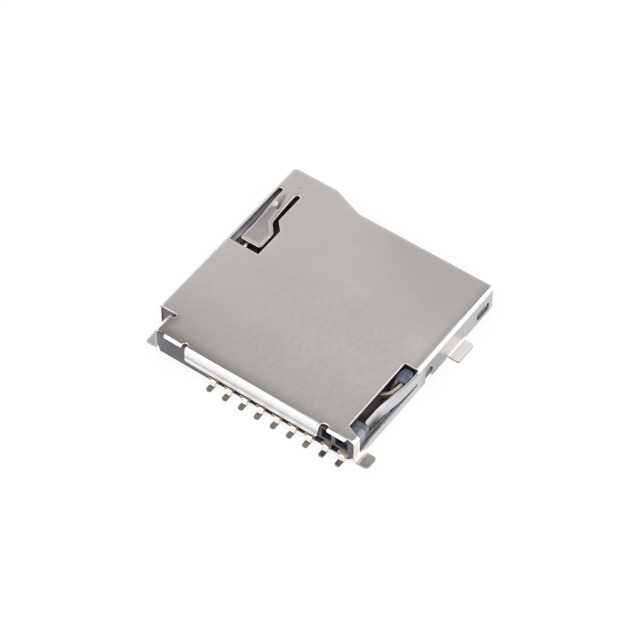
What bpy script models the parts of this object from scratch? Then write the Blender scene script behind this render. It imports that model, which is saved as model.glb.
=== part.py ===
"""Push-push socket for an 11 x 15 mm memory card: shell, housing, contacts and eject mechanism.

X runs across the socket, +Y toward the mouth where the card goes in, and Z up from the board.
The origin is on the underside of the housing, in the middle of its width.
"""
import math

import bmesh
import bpy
from mathutils import Matrix, Vector

# Card and the space round it
CARD_WIDTH = 11.0e-3
CARD_PLAY = 0.06e-3
CARD_SPACE = 0.93e-3
FLOOR = 0.72e-3
MECHANISM_WIDTH = 2.58e-3
SWITCH_WIDTH = 0.96e-3
MOUTH_Y = 7.0e-3
REAR_Y = -6.77e-3

# Sheet metal, and the clearances between the pieces
SHEET = 0.15e-3
BEND = 0.25e-3
FOOT_BEND = 0.10e-3
ARM_FOOT_BEND = 0.20e-3
WALL_BOTTOM = 0.06e-3
CLEAR = 0.04e-3
FIT = 0.02e-3

# Step in the mouth's edge
MOUTH_STEP = 0.75e-3
MOUTH_STEP_IN = 3.20e-3
MOUTH_STEP_RUN = 2.05e-3

# Solder tabs of the shell
MID_TAB_BACK = 3.75e-3
MID_TAB_WIDTH = 1.54e-3
MID_TAB_REACH = 0.73e-3
REAR_TAB_WIDTH = 0.90e-3
REAR_TAB_REACH = 0.81e-3
ARM_TAB_REACH = 0.72e-3
REAR_ARM_WIDTH = 0.45e-3
TAB_RELIEF = 0.22e-3
ARM_INSET = 0.84e-3

# Rear lips and the slit at the rear left corner
LIP_IN_LEFT = 3.12e-3
LIP_IN_RIGHT = 2.26e-3
LIP_BOTTOM = 0.68e-3
SHORT_LIP_LENGTH = 1.3e-3
SHORT_LIP_DROP = 0.17e-3
LIP_NOTCH = 0.28e-3
LIP_FLARE = 0.05e-3
LIP_TAPER = 0.20e-3
SLIT_FROM_REAR = 1.72e-3
SLIT_WIDTH = 0.27e-3
SLIT_IN = 1.33e-3

# Window with the pressing tongue
WINDOW_IN = 0.27e-3
WINDOW_WIDTH = 2.06e-3
WINDOW_BACK = 0.88e-3
WINDOW_LENGTH = 4.95e-3
TONGUE_IN = 0.54e-3
TONGUE_STEM = 0.90e-3
TONGUE_HEAD = 1.45e-3
TONGUE_TIP_GAP = 0.63e-3
TONGUE_DROP = 0.30e-3
TONGUE_GAP = 0.33e-3
HEAD_LENGTH = 1.55e-3

# Right-hand opening with the side leaf
OPENING_IN = 0.98e-3
OPENING_FROM_REAR = 1.03e-3
OPENING_LENGTH = 5.34e-3
LEAF_SHORT = 0.89e-3
LEAF_DOWN = 0.23e-3
LEAF_SLIT = 0.16e-3
LEAF_IN = 0.556e-3
LEAF_SAG = 0.12e-3
LEAF_TAPER = 0.30e-3
LEAF_TWIST = 38
RAIL_TOP = 0.62e-3

# Catch openings in the side walls
CATCH_BACK = 1.03e-3
CATCH_LENGTH = 1.22e-3
CATCH_Z = 0.62e-3
CATCH_HEIGHT = 0.64e-3
CATCH_ROUND = 0.20e-3
NOTCH_AHEAD = 0.97e-3
NOTCH_WIDTH = 0.72e-3
NOTCH_TOP = 1.05e-3
LUG = 0.06e-3
LUG_PLAY = 0.17e-3

# Housing
MOUTH_LEDGE = 0.30e-3
LEAD_IN = 0.35e-3
REAR_WALL = 0.30e-3
BAY_FLOOR = 0.35e-3
EDGE_CHAMFER = 0.28e-3
CORNER_WIDE = 0.15e-3
CORNER_HIGH = 0.60e-3

# Contacts
PITCH = 1.1e-3
CONTACTS = 8
CONTACT_EDGE = 0.84e-3
CONTACT_WIDTH = 0.32e-3
CONTACT_SHEET = 0.12e-3
TAIL_OUT = 0.56e-3
TAIL_LEVEL = 0.39e-3
SPRING_RISE = 0.25e-3
SPRING_FROM_REAR = 3.72e-3
SHOULDER_LEFT = 0.37e-3
SHOULDER_RIGHT = 0.29e-3
SHOULDER_OUT = 0.16e-3
SHOULDER_IN = 0.20e-3
WELL_FROM_REAR = 1.22e-3
WELL_AHEAD = 0.85e-3
WELL_WIDTH = 0.62e-3
POCKET_WIDTH = 0.66e-3
POCKET_ASIDE = 0.12e-3
HOLLOW_SILL = 0.08e-3
HOLLOW_TOP = 0.58e-3
HOLLOW_DEPTH = 0.40e-3
HOLLOW_RIB = 0.08e-3

# Card detection
LEVER_SHEET = 0.10e-3
LEVER_IN = 0.46e-3
LEVER_BACK = 0.80e-3
LEVER_LENGTH = 1.46e-3
LEVER_PROUD = 0.04e-3
LEVER_MARGIN = 0.06e-3
LEVER_DOWN = 0.15e-3
BLOCK_DOWN = 0.11e-3
RIB_RISE = 0.18e-3
CHANNEL_FLOOR = 0.27e-3
BLADE_BACK = 0.72e-3
BLADE_SHORT = 0.20e-3
BLADE_DOWN = 0.04e-3

# Eject mechanism
TRAVEL = 3.0e-3
STOP_GAP = 0.03e-3
SLIDER_BACK = 1.30e-3
PUSHER_DOWN = 0.16e-3
PUSHER_THICK = 0.5e-3
PUSHER_GAP = 0.6e-3
PUSHER_ROOT = 0.6e-3
HORN_RISE = 0.12e-3
HORN_THICK = 0.4e-3
CAM_DEPTH = 0.24e-3
CAM_WALL = 0.42e-3
CAM_PLAY = 0.03e-3
COIL_GAP = 0.03e-3
COIL_DOWN = 0.08e-3
COIL_DIAMETER = 0.66e-3
COIL_WIRE = 0.11e-3
COIL_TURNS = 34
SEAT_LENGTH = 1.45e-3
HOOD_THICK = 0.16e-3
HOOD_AHEAD = 1.1e-3
HOOD_SLANT = 1.5e-3
CRANK_WIRE = 0.28e-3
CRANK_GAP = 0.05e-3
CRANK_IN = 0.80e-3
CRANK_BACK = 0.70e-3
CRANK_TIP_IN = 1.15e-3
CRANK_LENGTH = 6.40e-3

# Places and sizes that follow from the values above
SHELL_WIDTH = MECHANISM_WIDTH + CARD_WIDTH + CARD_PLAY + SWITCH_WIDTH
HEIGHT = FLOOR + CARD_SPACE + SHEET
HALF = SHELL_WIDTH / 2
FOLD_X = HALF - BEND
FOLD_Y = REAR_Y + BEND
FOLD_RADIUS = BEND - SHEET / 2
FOLD_ARC = FOLD_RADIUS * math.pi / 2
FOOT_RADIUS = FOOT_BEND + SHEET / 2
FOOT_ARC = FOOT_RADIUS * math.pi / 2
FOOT_START = FOOT_BEND + SHEET
ARM_FOOT_RADIUS = ARM_FOOT_BEND + SHEET / 2
ARM_FOOT_ARC = ARM_FOOT_RADIUS * math.pi / 2
ARM_FOOT_START = ARM_FOOT_BEND + SHEET
INSIDE = HALF - SHEET - CLEAR
CEILING = HEIGHT - SHEET - CLEAR
SLOT_RIGHT = HALF - SWITCH_WIDTH
CARD_LEFT = SLOT_RIGHT - CARD_WIDTH - CARD_PLAY
MOUTH_LEFT_Y = MOUTH_Y + MOUTH_STEP
MOUTH_STEP_LEFT = -HALF + MOUTH_STEP_IN
MOUTH_STEP_RIGHT = MOUTH_STEP_LEFT + MOUTH_STEP_RUN
MID_TAB_Y = MOUTH_Y - MID_TAB_BACK
LIP_LEFT = -HALF + LIP_IN_LEFT
LIP_RIGHT = HALF - LIP_IN_RIGHT
SLIT_Y = REAR_Y + SLIT_FROM_REAR
SLIT_END = -HALF + SLIT_IN
WINDOW_LEFT = -HALF + WINDOW_IN
WINDOW_RIGHT = WINDOW_LEFT + WINDOW_WIDTH
WINDOW_FRONT = MOUTH_Y - WINDOW_BACK
WINDOW_REAR = WINDOW_FRONT - WINDOW_LENGTH
TONGUE_LEFT = -HALF + TONGUE_IN
TONGUE_TIP = WINDOW_REAR + TONGUE_TIP_GAP
TONGUE_UNDER = HEIGHT - SHEET - TONGUE_DROP
OPENING_INNER = HALF - OPENING_IN
OPENING_REAR = REAR_Y + OPENING_FROM_REAR
OPENING_FRONT = OPENING_REAR + OPENING_LENGTH
LEAF_TIP = OPENING_REAR + LEAF_SHORT
LEAF_TOP = HEIGHT - LEAF_DOWN
LEAF_BOTTOM = RAIL_TOP + LEAF_SLIT
CATCH_Y = MOUTH_Y - CATCH_BACK
NOTCH_Y = OPENING_FRONT + NOTCH_AHEAD
HOUSING_MOUTH = MOUTH_Y - MOUTH_LEDGE
HOUSING_REAR = REAR_Y + SHEET + CLEAR
REAR_FACE_IN = HOUSING_REAR + REAR_WALL
BODY_LEFT_REAR = -(INSIDE - ARM_INSET)
FIRST_TAIL = SLOT_RIGHT - CONTACT_EDGE - PITCH * (CONTACTS - 1)
TAIL_END = REAR_Y - TAIL_OUT
SPRING_TOP = FLOOR + SPRING_RISE
SPRING_Y = REAR_Y + SPRING_FROM_REAR
WELL_REAR = REAR_Y + WELL_FROM_REAR
WELL_FRONT = SPRING_Y + WELL_AHEAD
LEVER_X = HALF - LEVER_IN
LEVER_PIVOT_Y = OPENING_FRONT - LEVER_BACK
LEVER_TIP_X = SLOT_RIGHT - LEVER_PROUD
LEVER_TIP_Y = LEVER_PIVOT_Y - LEVER_LENGTH
BLOCK_TOP = CEILING - BLOCK_DOWN
RIB_TOP = FLOOR + RIB_RISE
LEVER_TOP = BLOCK_TOP - LEVER_DOWN
LEVER_BOTTOM = RIB_TOP + LEVER_MARGIN
CRANK_X = -HALF + CRANK_IN
CRANK_Y = MOUTH_Y - CRANK_BACK
CRANK_Z = TONGUE_UNDER - FIT - CRANK_WIRE / 2
CRANK_TIP_X = -HALF + CRANK_TIP_IN
CRANK_TIP_Y = CRANK_Y - CRANK_LENGTH
CAM_REACH = CRANK_WIRE / 2 + CAM_PLAY
SLIDER_RIGHT = CARD_LEFT - CLEAR
CRANK_SWING = SLIDER_RIGHT - CAM_WALL - CAM_REACH - CRANK_TIP_X
COIL_X = -(HALF - SHEET - COIL_GAP) + COIL_DIAMETER / 2
COIL_Z = TONGUE_UNDER - COIL_DOWN - COIL_DIAMETER / 2
COIL_SEAT = SLIT_Y + SEAT_LENGTH
HOOD_UNDER = COIL_Z + COIL_DIAMETER / 2 + CLEAR
SLIDER_LEFT = COIL_X + COIL_DIAMETER / 2 + CLEAR
SLIDER_REAR = REAR_FACE_IN + TRAVEL + STOP_GAP
SLIDER_FRONT = MOUTH_Y - SLIDER_BACK
SLIDER_TOP = CRANK_Z - CRANK_WIRE / 2 - CRANK_GAP
PUSHER_TOP = CEILING - PUSHER_DOWN
PUSHER_RIGHT = FIRST_TAIL - CONTACT_WIDTH / 2 - PUSHER_GAP
HORN_TOP = SLIDER_TOP + HORN_RISE


def material(name, colour, metallic, roughness):
    """A Principled material in one plain colour."""
    mat = bpy.data.materials.new(name)
    mat.use_nodes = True
    shader = mat.node_tree.nodes["Principled BSDF"]
    shader.inputs["Base Color"].default_value = (*colour, 1)
    shader.inputs["Metallic"].default_value = metallic
    shader.inputs["Roughness"].default_value = roughness
    return mat


def add(name, mesh, mat=None, place=(0, 0, 0)):
    """Links a mesh or curve as an object."""
    obj = bpy.data.objects.new(name, mesh)
    obj.location = place
    if mat:
        mesh.materials.append(mat)
    bpy.context.scene.collection.objects.link(obj)
    return obj


def guide(obj):
    """Marks a solid that only cuts or joins another."""
    obj.hide_render = True
    obj.display_type = "WIRE"
    return obj


def mesh_of(name, bm):
    """Turns a bmesh into a mesh with its faces pointing out."""
    bmesh.ops.recalc_face_normals(bm, faces=bm.faces)
    mesh = bpy.data.meshes.new(name)
    bm.to_mesh(mesh)
    bm.free()
    return mesh


def rounded(corners, steps=4):
    """A closed outline from (x, y) or (x, y, radius) corners, with an arc at each radius."""
    outline = []
    for i, corner in enumerate(corners):
        here = Vector(corner[:2])
        radius = corner[2] if len(corner) > 2 else 0
        if not radius:
            outline.append(here)
            continue
        before = (Vector(corners[i - 1][:2]) - here).normalized()
        after = (Vector(corners[(i + 1) % len(corners)][:2]) - here).normalized()
        half = before.angle(after) / 2
        centre = here + (before + after).normalized() * radius / math.sin(half)
        start = here + before * radius / math.tan(half) - centre
        end = here + after * radius / math.tan(half) - centre
        sweep = start.angle_signed(end)
        for k in range(steps + 1):
            outline.append(centre + Matrix.Rotation(-sweep * k / steps, 2) @ start)
    return outline


def prism(name, outline, low, high, axis="Z"):
    """A solid with the given outline. The outline lies across the named axis."""
    bm = bmesh.new()
    place = {
        "Z": lambda a, b, c: (a, b, c),
        "Y": lambda a, b, c: (a, c, b),
        "X": lambda a, b, c: (c, a, b),
    }[axis]
    rings = [[bm.verts.new(place(p[0], p[1], level)) for p in outline] for level in (low, high)]
    bm.faces.new(rings[0])
    bm.faces.new(reversed(rings[1]))
    for i in range(len(outline)):
        j = (i + 1) % len(outline)
        bm.faces.new((rings[0][j], rings[0][i], rings[1][i], rings[1][j]))
    return mesh_of(name, bm)


def boxes(name, spans):
    """Separate boxes in one mesh, each from its X, Y and Z limits."""
    bm = bmesh.new()
    for (x0, x1), (y0, y1), (z0, z1) in spans:
        middle = Matrix.Translation(((x0 + x1) / 2, (y0 + y1) / 2, (z0 + z1) / 2))
        size = Matrix.Diagonal((x1 - x0, y1 - y0, z1 - z0, 1))
        bmesh.ops.create_cube(bm, size=1, matrix=middle @ size)
    return mesh_of(name, bm)


def combine(target, mesh, operation="DIFFERENCE"):
    """Cuts a solid out of the target, or joins it on."""
    tool = guide(add(target.name + "_tool", mesh))
    change = target.modifiers.new(operation.title(), "BOOLEAN")
    change.operation = operation
    change.solver = "EXACT"
    change.object = tool


def shade(obj, angle=30):
    """Smooth shading with crisp edges."""
    obj.data.shade_smooth()
    obj.data.set_sharp_from_angle(angle=math.radians(angle))


def ribbon(path, thickness):
    """The outline of a strip whose middle line is the path."""
    left, right = [], []
    for i, point in enumerate(path):
        point = Vector(point)
        ahead = Vector(path[min(i + 1, len(path) - 1)]) - point
        behind = point - Vector(path[max(i - 1, 0)])
        if not ahead.length:
            ahead = behind
        if not behind.length:
            behind = ahead
        ahead.normalize()
        behind.normalize()
        along = (ahead + behind).normalized()
        reach = thickness / 2 / max(along.dot(ahead), 0.5)
        side = Vector((-along.y, along.x)) * reach
        left.append(point + side)
        right.append(point - side)
    return left + right[::-1]


def softened(path, radius, steps=3):
    """An open path whose inner corners become arcs."""
    points = [Vector(path[0])]
    for i in range(1, len(path) - 1):
        here = Vector(path[i])
        before, after = Vector(path[i - 1]) - here, Vector(path[i + 1]) - here
        cut = min(radius * math.tan((math.pi - before.angle(after)) / 2), before.length / 2, after.length / 2)
        a, b = here + before.normalized() * cut, here + after.normalized() * cut
        for k in range(steps + 1):
            t = k / steps
            points.append(a * (1 - t) ** 2 + here * 2 * t * (1 - t) + b * t ** 2)
    points.append(Vector(path[-1]))
    return points


def wall_flat(z):
    """How far from the middle a height on the side wall lies in the flat blank."""
    return FOLD_X + FOLD_ARC + HEIGHT - BEND - z


def blank_outline():
    """The sheet blank of the shell before folding, from the mouth's right corner round to the left."""
    bottom = wall_flat(WALL_BOTTOM)
    notch = wall_flat(FOOT_START)
    mid_end = notch + FOOT_ARC + MID_TAB_REACH - FOOT_BEND
    rear_end = notch + FOOT_ARC + REAR_TAB_REACH - FOOT_BEND
    arm_notch = wall_flat(ARM_FOOT_START)
    arm_end = arm_notch + ARM_FOOT_ARC + ARM_TAB_REACH - ARM_FOOT_BEND
    front, back = MID_TAB_Y + MID_TAB_WIDTH / 2, MID_TAB_Y - MID_TAB_WIDTH / 2
    arm_rear = FOLD_Y - CLEAR
    arm_front = arm_rear + REAR_TAB_WIDTH
    lip_end = FOLD_Y - FOLD_ARC - (HEIGHT - BEND - LIP_BOTTOM)
    short_end = FOLD_Y - FOLD_ARC - (SHORT_LIP_DROP - BEND)
    notch_top = FOLD_Y + LIP_NOTCH / 2
    curl = LIP_NOTCH * 0.49
    slit_far = SLIT_Y - SLIT_WIDTH
    wall_front = MOUTH_Y - SHEET / 2
    right = [
        (FOLD_X, MOUTH_Y),
        (FOLD_X + FOLD_ARC, wall_front),
        (bottom, wall_front, 0.25e-3),
        (bottom, front + TAB_RELIEF * 1.4),
        (notch, front + 0.05e-3, 0.05e-3),
        (notch, front),
        (mid_end, front, 0.18e-3),
        (mid_end, back, 0.08e-3),
        (notch, back),
        (notch, back - 0.05e-3, 0.05e-3),
        (bottom, back - TAB_RELIEF * 1.4),
        (bottom, arm_front + TAB_RELIEF * 1.4),
        (notch, arm_front + 0.05e-3, 0.05e-3),
        (notch, arm_front),
        (rear_end, arm_front, 0.15e-3),
        (rear_end, arm_rear, 0.25e-3),
        (notch, arm_rear),
        (FOLD_X, arm_rear),
    ]
    lips = [
        (LIP_RIGHT + LIP_NOTCH + SHORT_LIP_LENGTH, FOLD_Y),
        (LIP_RIGHT + LIP_NOTCH + SHORT_LIP_LENGTH - 0.1e-3, short_end, 0.06e-3),
        (LIP_RIGHT + LIP_NOTCH, short_end, 0.06e-3),
        (LIP_RIGHT + LIP_NOTCH, notch_top, curl),
        (LIP_RIGHT, notch_top, curl),
        (LIP_RIGHT - LIP_TAPER, lip_end, 0.2e-3),
        (LIP_LEFT - LIP_FLARE, lip_end, 0.12e-3),
        (LIP_LEFT, notch_top, curl),
        (LIP_LEFT - LIP_NOTCH, notch_top, curl),
        (LIP_LEFT - LIP_NOTCH, short_end, 0.06e-3),
        (LIP_LEFT - LIP_NOTCH - SHORT_LIP_LENGTH + 0.1e-3, short_end, 0.06e-3),
        (LIP_LEFT - LIP_NOTCH - SHORT_LIP_LENGTH, FOLD_Y),
    ]
    left = [
        (-(FOLD_X - ARM_INSET), arm_rear),
        (-(arm_notch - ARM_INSET), arm_rear),
        (-(arm_end - ARM_INSET), arm_rear, 0.14e-3),
        (-(arm_end - ARM_INSET), arm_front, 0.08e-3),
        (-(arm_notch - ARM_INSET), arm_front),
        (-(arm_notch - ARM_INSET), slit_far, 0.08e-3),
        (SLIT_END, slit_far, SLIT_WIDTH * 0.49),
        (SLIT_END, SLIT_Y, SLIT_WIDTH * 0.49),
        (-FOLD_X, SLIT_Y),
        (-bottom, SLIT_Y - 0.05e-3, 0.05e-3),
        (-bottom, back - TAB_RELIEF * 1.4),
        (-notch, back - 0.05e-3, 0.05e-3),
        (-notch, back),
        (-mid_end, back, 0.08e-3),
        (-mid_end, front, 0.18e-3),
        (-notch, front),
        (-notch, front + 0.05e-3, 0.05e-3),
        (-bottom, front + TAB_RELIEF * 1.4),
        (-bottom, MOUTH_LEFT_Y - 0.3e-3, 0.25e-3),
        (-(FOLD_X + FOLD_ARC), MOUTH_LEFT_Y - 0.2e-3),
        (-FOLD_X, MOUTH_LEFT_Y - 0.08e-3),
        (-FOLD_X + 0.12e-3, MOUTH_LEFT_Y, 0.1e-3),
        (MOUTH_STEP_LEFT, MOUTH_LEFT_Y, 1.1e-3),
        (MOUTH_STEP_RIGHT, MOUTH_Y, 0.9e-3),
    ]
    return rounded(right + lips + left)


def tongue_outline():
    """The window round the pressing tongue, as one outline with the tongue left standing in it."""
    stem_right = TONGUE_LEFT + TONGUE_STEM
    head_right = TONGUE_LEFT + TONGUE_HEAD
    head_front = TONGUE_TIP + HEAD_LENGTH
    shift = TONGUE_HEAD - TONGUE_STEM
    left_gap = TONGUE_LEFT - WINDOW_LEFT
    return rounded([
        (WINDOW_LEFT, WINDOW_REAR, 0.05e-3),
        (WINDOW_RIGHT, WINDOW_REAR, 0.05e-3),
        (WINDOW_RIGHT, head_front - 0.05e-3, 0.08e-3),
        (WINDOW_RIGHT - shift, head_front + shift, 0.15e-3),
        (stem_right + TONGUE_GAP, WINDOW_FRONT, TONGUE_GAP * 0.49),
        (stem_right, WINDOW_FRONT, TONGUE_GAP * 0.49),
        (stem_right, head_front + shift * 0.75, 0.05e-3),
        (head_right, head_front - 0.25e-3, 0.15e-3),
        (head_right, TONGUE_TIP + 0.12e-3, 0.05e-3),
        (head_right - 0.13e-3, TONGUE_TIP, 0.05e-3),
        (TONGUE_LEFT, TONGUE_TIP, 0.15e-3),
        (TONGUE_LEFT + 0.05e-3, WINDOW_FRONT - 0.08e-3, left_gap * 0.45),
        (WINDOW_LEFT, WINDOW_FRONT - 0.08e-3, left_gap * 0.45),
    ])


def opening_outline():
    """The right-hand opening, over the top plate and the side wall, with the leaf left standing in it."""
    leaf_top, leaf_bottom, rail = wall_flat(LEAF_TOP), wall_flat(LEAF_BOTTOM), wall_flat(RAIL_TOP)
    arm_front = FOLD_Y - CLEAR + REAR_ARM_WIDTH
    slit_round = (rail - leaf_bottom) * 0.45
    return rounded([
        (OPENING_INNER, OPENING_FRONT, 0.06e-3),
        (OPENING_INNER, OPENING_REAR, 0.06e-3),
        (FOLD_X, OPENING_REAR - 0.3e-3),
        (FOLD_X + FOLD_ARC, arm_front),
        (wall_flat(0.36e-3), arm_front, 0.1e-3),
        (rail, OPENING_REAR + 0.6e-3, 0.3e-3),
        (rail, OPENING_FRONT - 0.12e-3, slit_round),
        (leaf_bottom, OPENING_FRONT - 0.12e-3, slit_round),
        (leaf_bottom - LEAF_TAPER, LEAF_TIP, 0.1e-3),
        (leaf_top, LEAF_TIP, 0.1e-3),
        (leaf_top, OPENING_FRONT, 0.1e-3),
    ])


def ease(t):
    """A smooth step from 0 to 1."""
    t = min(max(t, 0), 1)
    return t * t * (3 - 2 * t)


def folded(point):
    """Where a point of the flat blank goes when the shell is folded."""
    x, y, up = point
    side = math.copysign(1, x)
    arm = side < 0 and y < SLIT_Y - SLIT_WIDTH / 2
    inset = ARM_INSET if arm else 0
    run = abs(x) - (FOLD_X - inset)
    inner = BEND - SHEET + up
    if run > 0:
        turn = min(run / FOLD_RADIUS, math.pi / 2)
        reach = FOLD_X - inset + inner * math.sin(turn)
        z = HEIGHT - BEND + inner * math.cos(turn)
        down = max(run - FOLD_ARC, 0)
        in_tab = abs(y - MID_TAB_Y) <= MID_TAB_WIDTH / 2 + 1e-7
        in_tab = in_tab or FOLD_Y - CLEAR - 1e-7 <= y <= FOLD_Y - CLEAR + REAR_TAB_WIDTH + 1e-7
        start, radius, arc = FOOT_START, FOOT_RADIUS, FOOT_ARC
        if arm:
            start, radius, arc = ARM_FOOT_START, ARM_FOOT_RADIUS, ARM_FOOT_ARC
        straight = HEIGHT - BEND - start
        if in_tab and down > straight:
            run = down - straight
            turn = min(run / radius, math.pi / 2)
            outer = start - up
            reach += outer - outer * math.cos(turn) + max(run - arc, 0)
            z = start - outer * math.sin(turn)
        else:
            z -= down
        in_leaf = wall_flat(LEAF_TOP) - 1e-7 <= x <= wall_flat(LEAF_BOTTOM) + 1e-7
        if in_leaf and LEAF_TIP - 1e-7 <= y < OPENING_FRONT:
            bent = ease((OPENING_FRONT - 0.6e-3 - y) / 2.9e-3)
            lean = math.radians(LEAF_TWIST) * bent
            down, back = LEAF_TOP - (HEIGHT - BEND - (abs(x) - FOLD_X - FOLD_ARC)), SHEET - up
            reach = HALF - LEAF_IN * bent + down * math.sin(lean) - back * math.cos(lean)
            z = LEAF_TOP - LEAF_SAG * bent - down * math.cos(lean) - back * math.sin(lean)
        return Vector((side * reach, y, z))
    run = FOLD_Y - y
    if run > 0:
        turn = min(run / FOLD_RADIUS, math.pi / 2)
        z = HEIGHT - BEND + inner * math.cos(turn) - max(run - FOLD_ARC, 0)
        return Vector((x, FOLD_Y - inner * math.sin(turn), z))
    z = HEIGHT - SHEET + up
    shoulder = max(y - (TONGUE_TIP + HEAD_LENGTH - 0.25e-3), 0) * 0.83
    limit = TONGUE_LEFT + max(TONGUE_HEAD - shoulder, TONGUE_STEM) + 0.14e-3
    if TONGUE_LEFT - 0.1e-3 < x < limit and TONGUE_TIP - 0.2e-3 < y < WINDOW_FRONT:
        z -= TONGUE_DROP * ease((WINDOW_FRONT - 0.45e-3 - y) / (WINDOW_FRONT - TONGUE_TIP - HEAD_LENGTH))
    return Vector((x, y, z))


def baked(obj):
    """A bmesh of the object with its modifiers applied."""
    graph = bpy.context.evaluated_depsgraph_get()
    bm = bmesh.new()
    bm.from_object(obj, graph)
    obj.modifiers.clear()
    return bm


def slice_blank(bm, axis, places, low=(-1, -1), high=(1, 1)):
    """Adds edge lines across the faces between two corners, so that they can bend."""
    normal = Vector((1, 0, 0)) if axis == 0 else Vector((0, 1, 0))
    for place in places:
        faces = []
        for face in bm.faces:
            middle = face.calc_center_bounds()
            if low[0] < middle.x < high[0] and low[1] < middle.y < high[1]:
                faces.append(face)
        geom = faces + list({e for f in faces for e in f.edges}) + list({v for f in faces for v in f.verts})
        bmesh.ops.bisect_plane(bm, geom=geom, dist=1e-7, plane_co=normal * place, plane_no=normal)


def make_shell(mat):
    """The stamped and folded cover: a flat blank is cut out, then bent."""
    shell = add("shell", prism("shell", blank_outline(), 0, SHEET), mat)
    for outline in (tongue_outline(), opening_outline()):
        combine(shell, prism("cut", outline, -SHEET, 2 * SHEET))
    for side, centre in ((1, CATCH_Y), (-1, CATCH_Y + MOUTH_STEP)):
        low, high = centre - CATCH_LENGTH / 2, centre + CATCH_LENGTH / 2
        top, foot = wall_flat(CATCH_Z + CATCH_HEIGHT / 2), wall_flat(CATCH_Z - CATCH_HEIGHT / 2)
        radius = CATCH_ROUND
        outline = [(side * top, low, radius), (side * foot, low, radius), (side * foot, high, radius),
                   (side * top, high, radius)]
        combine(shell, prism("cut", rounded(outline[::side]), -SHEET, 2 * SHEET))
    top, foot = wall_flat(NOTCH_TOP), wall_flat(-SHEET)
    combine(shell, prism("cut", rounded([
        (top, NOTCH_Y - NOTCH_WIDTH / 2, NOTCH_WIDTH * 0.49), (foot, NOTCH_Y - NOTCH_WIDTH / 2),
        (foot, NOTCH_Y + NOTCH_WIDTH / 2), (top, NOTCH_Y + NOTCH_WIDTH / 2, NOTCH_WIDTH * 0.49),
    ]), -SHEET, 2 * SHEET))
    bm = baked(shell)
    turns = [k / 5 for k in range(6)]
    fold = [FOLD_X + FOLD_ARC * t for t in turns]
    foot = [wall_flat(FOOT_START) + FOOT_ARC * t for t in turns]
    arm = SLIT_Y - SLIT_WIDTH / 2
    margin = 0.1e-3
    edge = WINDOW_RIGHT + margin
    slice_blank(bm, 0, fold + foot + [edge])
    slice_blank(bm, 1, [arm], high=(edge, 1))
    slice_blank(bm, 0, [-x for x in fold + foot], low=(-1, arm))
    arm_foot = [wall_flat(ARM_FOOT_START) + ARM_FOOT_ARC * t for t in turns]
    slice_blank(bm, 0, [ARM_INSET - x for x in fold + arm_foot], high=(edge, arm))
    slice_blank(bm, 1, [FOLD_Y - FOLD_ARC * t for t in turns], high=(FOLD_X, 1))
    leaf = [OPENING_FRONT + (LEAF_TIP - OPENING_FRONT) * k / 12 for k in range(13)]
    slice_blank(bm, 1, leaf, low=(FOLD_X, -1))
    for side in (MID_TAB_Y - MID_TAB_WIDTH / 2, MID_TAB_Y + MID_TAB_WIDTH / 2):
        slice_blank(bm, 1, [side], low=(FOLD_X, -1))
        slice_blank(bm, 1, [side], high=(-FOLD_X, 1))
    slice_blank(bm, 1, [WINDOW_REAR - margin, WINDOW_FRONT + margin], low=(-FOLD_X, arm), high=(edge, 1))
    head = TONGUE_TIP + HEAD_LENGTH
    stem = [head - 0.5e-3 + (WINDOW_FRONT - head + 0.5e-3) * k / 12 for k in range(13)]
    slice_blank(bm, 1, stem, low=(-FOLD_X, WINDOW_REAR - margin), high=(edge, WINDOW_FRONT + margin))
    bmesh.ops.triangulate(bm, faces=bm.faces)
    for vert in bm.verts:
        vert.co = folded(vert.co)
    shell.data = mesh_of("shell", bm)
    shell.data.materials.append(mat)
    shade(shell)
    return shell


def tails():
    """The X position of every solder tail, the card contacts first and the detection contact last."""
    return [FIRST_TAIL + PITCH * i for i in range(CONTACTS + 1)]


def make_contact(name, mesh, x):
    """One spring contact. All of them share one bent strip."""
    return add(name, mesh, None, (x, 0, 0))


def shoulders(x):
    """The span of the wider part of a contact, which stops against the rear wall."""
    out, inward = HOUSING_REAR - SHOULDER_OUT, HOUSING_REAR + SHOULDER_IN
    half = CONTACT_SHEET / 2
    return (x - SHOULDER_LEFT, x + SHOULDER_RIGHT), (out, inward), (TAIL_LEVEL - half, TAIL_LEVEL + half)


def contact_mesh(mat):
    """A strip with a solder foot, a step through the rear wall and a sprung, rounded tip."""
    foot = CONTACT_SHEET / 2
    path = softened([
        (TAIL_END, foot), (HOUSING_REAR - 0.28e-3, foot), (HOUSING_REAR - 0.16e-3, TAIL_LEVEL),
        (WELL_REAR + 0.3e-3, TAIL_LEVEL), (SPRING_Y - 0.45e-3, SPRING_TOP - 0.12e-3),
        (SPRING_Y, SPRING_TOP), (SPRING_Y + 0.42e-3, SPRING_TOP - 0.28e-3),
    ], 0.16e-3)
    strip = prism("strip", ribbon(path, CONTACT_SHEET), -CONTACT_WIDTH / 2, CONTACT_WIDTH / 2, "X")
    round_tip(strip)
    blank = add("contact_blank", strip)
    combine(blank, boxes("shoulders", [shoulders(0)]), "UNION")
    mesh = mesh_of("contact", baked(blank))
    bpy.data.objects.remove(blank)
    mesh.materials.append(mat)
    mesh.shade_smooth()
    mesh.set_sharp_from_angle(angle=math.radians(40))
    return mesh


def round_tip(mesh):
    """Rounds the two corners at the end of a solder tail."""
    bm = bmesh.new()
    bm.from_mesh(mesh)
    corners = [e for e in bm.edges if all(v.co.y < TAIL_END + 1e-7 for v in e.verts)
               and abs(e.verts[0].co.x - e.verts[1].co.x) < 1e-7]
    bmesh.ops.bevel(bm, geom=corners, offset=CONTACT_WIDTH * 0.3, segments=3, profile=0.5, affect="EDGES")
    bm.to_mesh(mesh)
    bm.free()


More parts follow.
